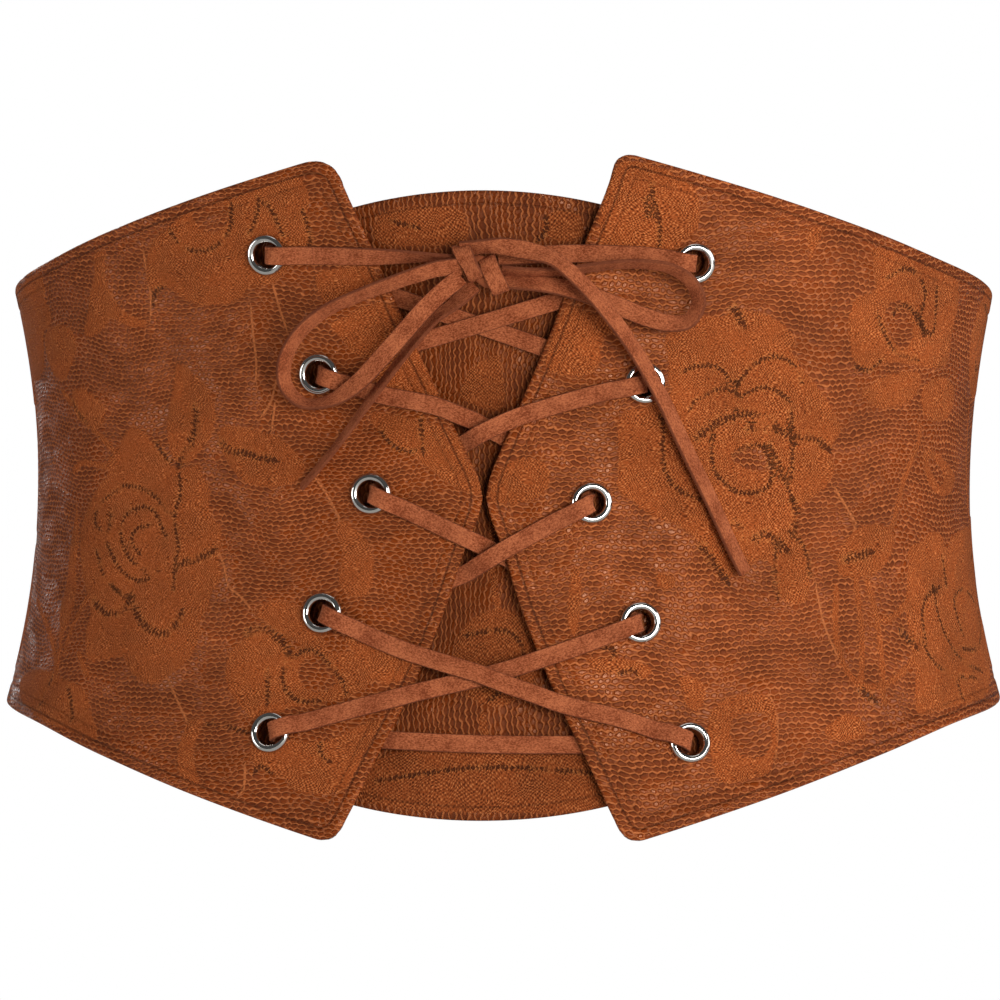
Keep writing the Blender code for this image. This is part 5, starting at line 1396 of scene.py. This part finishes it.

    # hem lines along the free edges, sunk as grooves and painted dark as the shade in them
    hem = 0.0
    for distance, strength in use["hemLines"]:
        off = addNode(tree, mathNode, {0: fineAbout, 1: 0.7, 2: edgeIn}, operation="MULTIPLY_ADD")
        off = addNode(tree, mathNode, {0: off, 1: distance}, operation="SUBTRACT")
        off = addNode(tree, mathNode, {0: off}, operation="ABSOLUTE")
        line = addNode(tree, rangeNode, {0: off, 1: 0.42, 2: 0.08, 4: strength}, **smooth)
        hem = addNode(tree, mathNode, {0: hem, 1: line}, operation="MAXIMUM")

    # leather tone in random patches, and each cell painted lighter at its lower side and darker under the
    # thread above it, as painted light and shadow; weave from painted shade in its gaps to painted highlight
    # on its threads
    deep = addNode(tree, rangeNode, {0: patchy, 1: 0.36, 2: 0.62}, **smooth)
    lit = addNode(tree, rangeNode, {0: cellUp, 1: 0.75, 2: -0.75, 3: 0.05, 4: 0.7})
    deep = addNode(tree, mathNode, {0: deep, 1: 0.45, 2: lit}, operation="MULTIPLY_ADD", use_clamp=True)
    # weave colour follows its height, with random dashes of tone: painted shade low in the gaps, painted
    # highlight on the stitches
    dark = addNode(tree, rangeNode, {0: weave, 1: 0.02, 2: 0.48}, **smooth)
    bright = addNode(tree, rangeNode, {0: weave, 1: 0.55, 2: 1.05}, **smooth)
    netShare = addNode(tree, mathNode, {0: net, 1: use["netThread"][1]}, operation="MULTIPLY")
    netted, woven = use["leather"][0], use["woven"][0]
    for share, tone in ((deep, use["leather"][1]), (netShare, use["netThread"][0])):
        netted = addNode(tree, mixNode, {0: share, 6: netted, 7: tone}, data_type="RGBA").outputs[2]
    for share, tone in ((dark, use["woven"][1]), (bright, use["woven"][2])):
        woven = addNode(tree, mixNode, {0: share, 6: woven, 7: tone}, data_type="RGBA").outputs[2]
    colour = addNode(tree, mixNode, {0: motif, 6: netted, 7: woven}, data_type="RGBA").outputs[2]
    # lighter thread bars, then holes and hem grooves darkened with painted shade
    for layer, (tone, strength) in ((bar, use["holeThread"]), (hole, use["hole"]), (hem, use["hem"])):
        share = addNode(tree, mathNode, {0: layer, 1: strength}, operation="MULTIPLY")
        colour = addNode(tree, mixNode, {0: share, 6: colour, 7: tone}, data_type="RGBA").outputs[2]
    # slow random tone, scaled by the look's shade, which below 1 is painted shade
    shade = addNode(tree, rangeNode, {0: coarse, 1: 0.35, 2: 0.65,
                                      3: 0.86 * use["shade"], 4: 1.1 * use["shade"]})
    colour = addNode(tree, vectorNode, {0: colour, 3: shade}, operation="SCALE")
    tree.links.new(colour.outputs[0], shader.inputs["Base Color"])

    # leather shines softly in patches, thread is matt
    dull, polished = use["leatherRough"]
    bare = addNode(tree, rangeNode, {0: patchy, 1: 0.40, 2: 0.58, 3: dull, 4: polished})
    bare = addNode(tree, mathNode, {0: net, 1: use["netRough"], 2: bare}, operation="MULTIPLY_ADD",
                   use_clamp=True)
    rough = addNode(tree, mixNode, {0: motif, 2: bare, 3: use["wovenRough"]})
    tree.links.new(rough.outputs[0], shader.inputs["Roughness"])

    # relief of cushions, net and stitches, with sunken holes and hems and slow waves
    low = addNode(tree, mathNode, {0: cushion, 1: use["cushionRise"]}, operation="MULTIPLY")
    low = addNode(tree, mathNode, {0: net, 1: use["netRise"], 2: low}, operation="MULTIPLY_ADD")
    rise, base = use["stitchRise"]
    high = addNode(tree, mathNode, {0: weave, 1: rise, 2: base}, operation="MULTIPLY_ADD")
    height = addNode(tree, mixNode, {0: motif, 2: low, 3: high})
    layers = {"hole": hole, "hem": hem, "coarse": coarse, "patchy": patchy}
    for kind, rise in use["relief"].items():
        height = addNode(tree, mathNode, {0: layers[kind], 1: rise, 2: height}, operation="MULTIPLY_ADD")
    bump = addNode(tree, "ShaderNodeBump", {"Height": height, "Distance": 0.001, "Strength": 0.9})
    tree.links.new(bump.outputs[0], shader.inputs["Normal"])
    return material


# Napped suede lace: short fibres, and a darker cut edge on both sides
suedeLace = {"colours": ("743418", "B2643E"), "cut": "62301C", "half": 2.3, "cutWidth": (0.3, 0.05)}


def suedeMaterial(name):
    material, tree, shader = newMaterial(name, 0.95, Specular_IOR_Level=0.2)
    cloth = addNode(tree, "ShaderNodeAttribute", attribute_name="cloth").outputs["Vector"]
    across, _, _ = addNode(tree, splitNode, {0: cloth}).outputs
    drawn = addNode(tree, vectorNode, {0: cloth, 1: (2.2, 1.3, 2.2)}, operation="MULTIPLY")
    nap = addNode(tree, noiseNode, {"Vector": drawn, "Scale": 1.5, "Detail": 4.0})
    worn = addNode(tree, noiseNode, {"Vector": cloth, "Scale": 0.16, "Detail": 2.0})
    napped = addNode(tree, rangeNode, {0: nap, 1: 0.32, 2: 0.68, 3: -0.55, 4: 0.55})
    share = addNode(tree, rangeNode, {0: worn, 1: 0.3, 2: 0.7, 3: 0.2, 4: 0.8})
    share = addNode(tree, mathNode, {0: share, 1: napped}, operation="ADD", use_clamp=True)
    side = addNode(tree, mathNode, {0: across}, operation="ABSOLUTE")
    start, end = (suedeLace["half"] - width for width in suedeLace["cutWidth"])
    cut = addNode(tree, rangeNode, {0: side, 1: start, 2: end, 4: 0.75}, **smooth)
    colour = suedeLace["colours"][0]
    for share, tone in ((share, suedeLace["colours"][1]), (cut, suedeLace["cut"])):
        colour = addNode(tree, mixNode, {0: share, 6: colour, 7: tone}, data_type="RGBA").outputs[2]
    tree.links.new(colour, shader.inputs["Base Color"])
    bump = addNode(tree, "ShaderNodeBump", {"Height": nap, "Distance": 0.00025, "Strength": 0.8})
    tree.links.new(bump.outputs[0], shader.inputs["Normal"])
    return material


# Elastic webbing: fine upright ribs crossed by close weft threads, each with its pitch in millimetres, its
# fray and its depth; its colour is painted darker in the valleys as painted shade and lighter on the ridges
# as painted light
webbing = {"colours": ("6A2F14", "96522A"), "rib": (1.6, 1.5, 0.32), "weft": (0.9, 2.0, 0.16)}


def elasticMaterial(name):
    material, tree, shader = newMaterial(name, 0.85)
    cloth = addNode(tree, "ShaderNodeAttribute", attribute_name="cloth").outputs["Vector"]
    along, up, _ = addNode(tree, splitNode, {0: cloth}).outputs
    noise = addNode(tree, noiseNode, {"Vector": cloth, "Scale": 0.9, "Detail": 3.0})
    threads = 0.5
    for run, (pitch, fray, depth) in ((along, webbing["rib"]), (up, webbing["weft"])):
        wave = addNode(tree, mathNode, {0: run, 1: math.tau / pitch}, operation="MULTIPLY")
        wave = addNode(tree, mathNode, {0: noise, 1: fray, 2: wave}, operation="MULTIPLY_ADD")
        wave = addNode(tree, mathNode, {0: wave}, operation="SINE")
        threads = addNode(tree, mathNode, {0: wave, 1: depth, 2: threads}, operation="MULTIPLY_ADD")
    # painted shade in the valleys, painted light on the ridges
    valley, ridge = webbing["colours"]
    colour = addNode(tree, mixNode, {0: threads, 6: valley, 7: ridge}, data_type="RGBA").outputs[2]
    tree.links.new(colour, shader.inputs["Base Color"])
    bump = addNode(tree, "ShaderNodeBump", {"Height": threads, "Distance": 0.0004, "Strength": 0.8})
    tree.links.new(bump.outputs[0], shader.inputs["Normal"])
    return material


# A surface with one even grain, its size and depth in millimetres
def grainedMaterial(name, colours, roughness, grain, depth, metallic=0.0):
    material, tree, shader = newMaterial(name, roughness, Metallic=metallic)
    spot = addNode(tree, "ShaderNodeTexCoord").outputs["Object"]
    noise = addNode(tree, noiseNode, {"Vector": spot, "Scale": 1000 / grain, "Detail": 3.0})
    colour = addNode(tree, mixNode, {0: noise, 6: colours[0], 7: colours[1]}, data_type="RGBA").outputs[2]
    tree.links.new(colour, shader.inputs["Base Color"])
    bump = addNode(tree, "ShaderNodeBump", {"Height": noise, "Distance": depth / 1000, "Strength": 0.8})
    tree.links.new(bump.outputs[0], shader.inputs["Normal"])
    return material


# The modesty panel's lace lies turned on its side, its net drawn into upright ribs, and its whole colour
# darkened by its shade as painted shade, for it lies behind the panels
modestyLook = {"shade": 0.74, "hemLines": ((3.2, 0.5),), "sway": (3.0, 2.0, 0.0), "upright": 0.0}


# Camera, level with the waist and a little to the right
view = {
    "distance": 2.0,
    "azimuth": 3.5,
    "metresAcross": 0.2628,
    "sensor": 36,
    "shift": (-0.003, -0.002),
    "farthest": 20,
}
turn = math.radians(view["azimuth"])
cameraData = bpy.data.cameras.new("camera")
cameraData.sensor_width = view["sensor"]
cameraData.lens = view["sensor"] * view["distance"] / view["metresAcross"]
cameraData.shift_x, cameraData.shift_y = view["shift"]
cameraData.clip_end = view["farthest"]
camera = linkData(cameraData)
camera.location = (view["distance"] * math.sin(turn), -view["distance"] * math.cos(turn), 0)
camera.rotation_euler = (math.radians(90), 0, turn)
bpy.context.scene.camera = camera

suede = suedeMaterial("napped_suede")
# nickel mirrors the lamps in its rings; the backing is matt, fine-grained suede
nickel = grainedMaterial("polished_nickel", ("C9C5BF", "D6D3CE"), 0.08, 3.0, 0.004, metallic=1.0)
backing = grainedMaterial("suede_backing", ("5A2E1A", "6E3B22"), 0.9, 0.8, 0.1)
elastic = elasticMaterial("woven_elastic")
laced = laceLeatherMaterial("lace_bonded_leather", laceLeather)
# the modesty panel's copy, darkened with painted shade
lacedBehindShaded = laceLeatherMaterial("lace_bonded_leather_behind_painted_shade", {**laceLeather, **modestyLook})
print("corset belt: materials made")

cords = {
    "bow_loop_left": ("object", "loose"),
    "bow_loop_right": ("object", "loose"),
    "lace_tail_left": ("bare", "hanging"),
    "lace_tail_right": ("bare", "hanging"),
}
for name, (farEnd, lay) in cords.items():
    strand, middles, length = lacePiece(f"{name}_suede", strandRings(bowStrands[name]), suede)
    addPiece(strand, name)
    print("corset belt:", name, round(length * 1000, 1), "mm")
lacing, _, length = lacePiece("lacing_suede", laceRings(), suede)
addPiece(lacing, "lacing")
knotPiece(suede)
print("corset belt: lacing", round(length * 1000, 1), "mm and knot")

for side in ("left", "right"):
    panelPiece(side, (laced, backing))
    for row in range(len(eyeletRow["pitches"])):
        eyeletPiece(side, row, nickel)
modestyPiece((lacedBehindShaded, backing))
bandPiece((elastic, elastic))
print("corset belt: panels, modesty panel and back band")


# Soft studio light: name, place, size and power of each lamp, all aimed at the belt's middle
lamps = (
    ("key", (1.2, -1.4, 0.0), (0.7, 0.7), 12),
    ("gloss", (0.66, -1.7, 0.12), (0.4, 0.6), 15),
    ("side", (1.7, -0.35, 0.4), (0.8, 0.8), 7.5),
    ("fill", (-1.7, -0.75, -0.1), (0.9, 0.9), 14),
    ("top", (0.1, -0.1, 1.4), (0.9, 0.9), 2.5),
    ("back", (-0.6, 1.5, 0.6), (1.0, 1.0), 8),
)
for name, spot, size, power in lamps:
    data = bpy.data.lights.new(name, "AREA")
    data.shape = "RECTANGLE"
    data.size, data.size_y = size
    data.energy = power
    lamp = linkData(data)
    lamp.location = spot
    lamp.rotation_euler = (Vector() - Vector(spot)).to_track_quat("-Z", "Y").to_euler()
world = bpy.data.worlds.new("studio")
world.use_nodes = True
world.node_tree.nodes["Background"].inputs["Color"].default_value = (1, 1, 1, 1)
world.node_tree.nodes["Background"].inputs["Strength"].default_value = 0.08
bpy.context.scene.world = world
bpy.context.scene.view_settings.view_transform = "Standard"

# Plain floor, and a white dome that the camera sees but that lights nothing
stage = {"floor": -0.25, "floorRadius": 1.6, "domeRadius": 6.0}
build = bmesh.new()
bmesh.ops.create_circle(build, cap_ends=True, segments=96, radius=stage["floorRadius"])
bmesh.ops.translate(build, verts=build.verts, vec=(0, 0, stage["floor"]))
# pale matt paint
paint = grainedMaterial("painted_floor", ("E8E8E6", "EFEFED"), 0.7, 40.0, 0.01)
floor = linkData(builtMesh(build, "floor"), paint)
build = bmesh.new()
bmesh.ops.create_uvsphere(build, u_segments=48, v_segments=24, radius=stage["domeRadius"])
white = bpy.data.materials.new("backdrop_paper")
white.use_nodes = True
white.node_tree.nodes.remove(white.node_tree.nodes["Principled BSDF"])
glow = addNode(white.node_tree, "ShaderNodeEmission", {"Color": (1, 1, 1, 1), "Strength": 1.0})
white.node_tree.links.new(glow.outputs[0], white.node_tree.nodes["Material Output"].inputs["Surface"])
dome = linkData(builtMesh(build, "backdrop"), white)
for ray in ("visible_diffuse", "visible_glossy", "visible_transmission", "visible_shadow"):
    setattr(dome, ray, False)
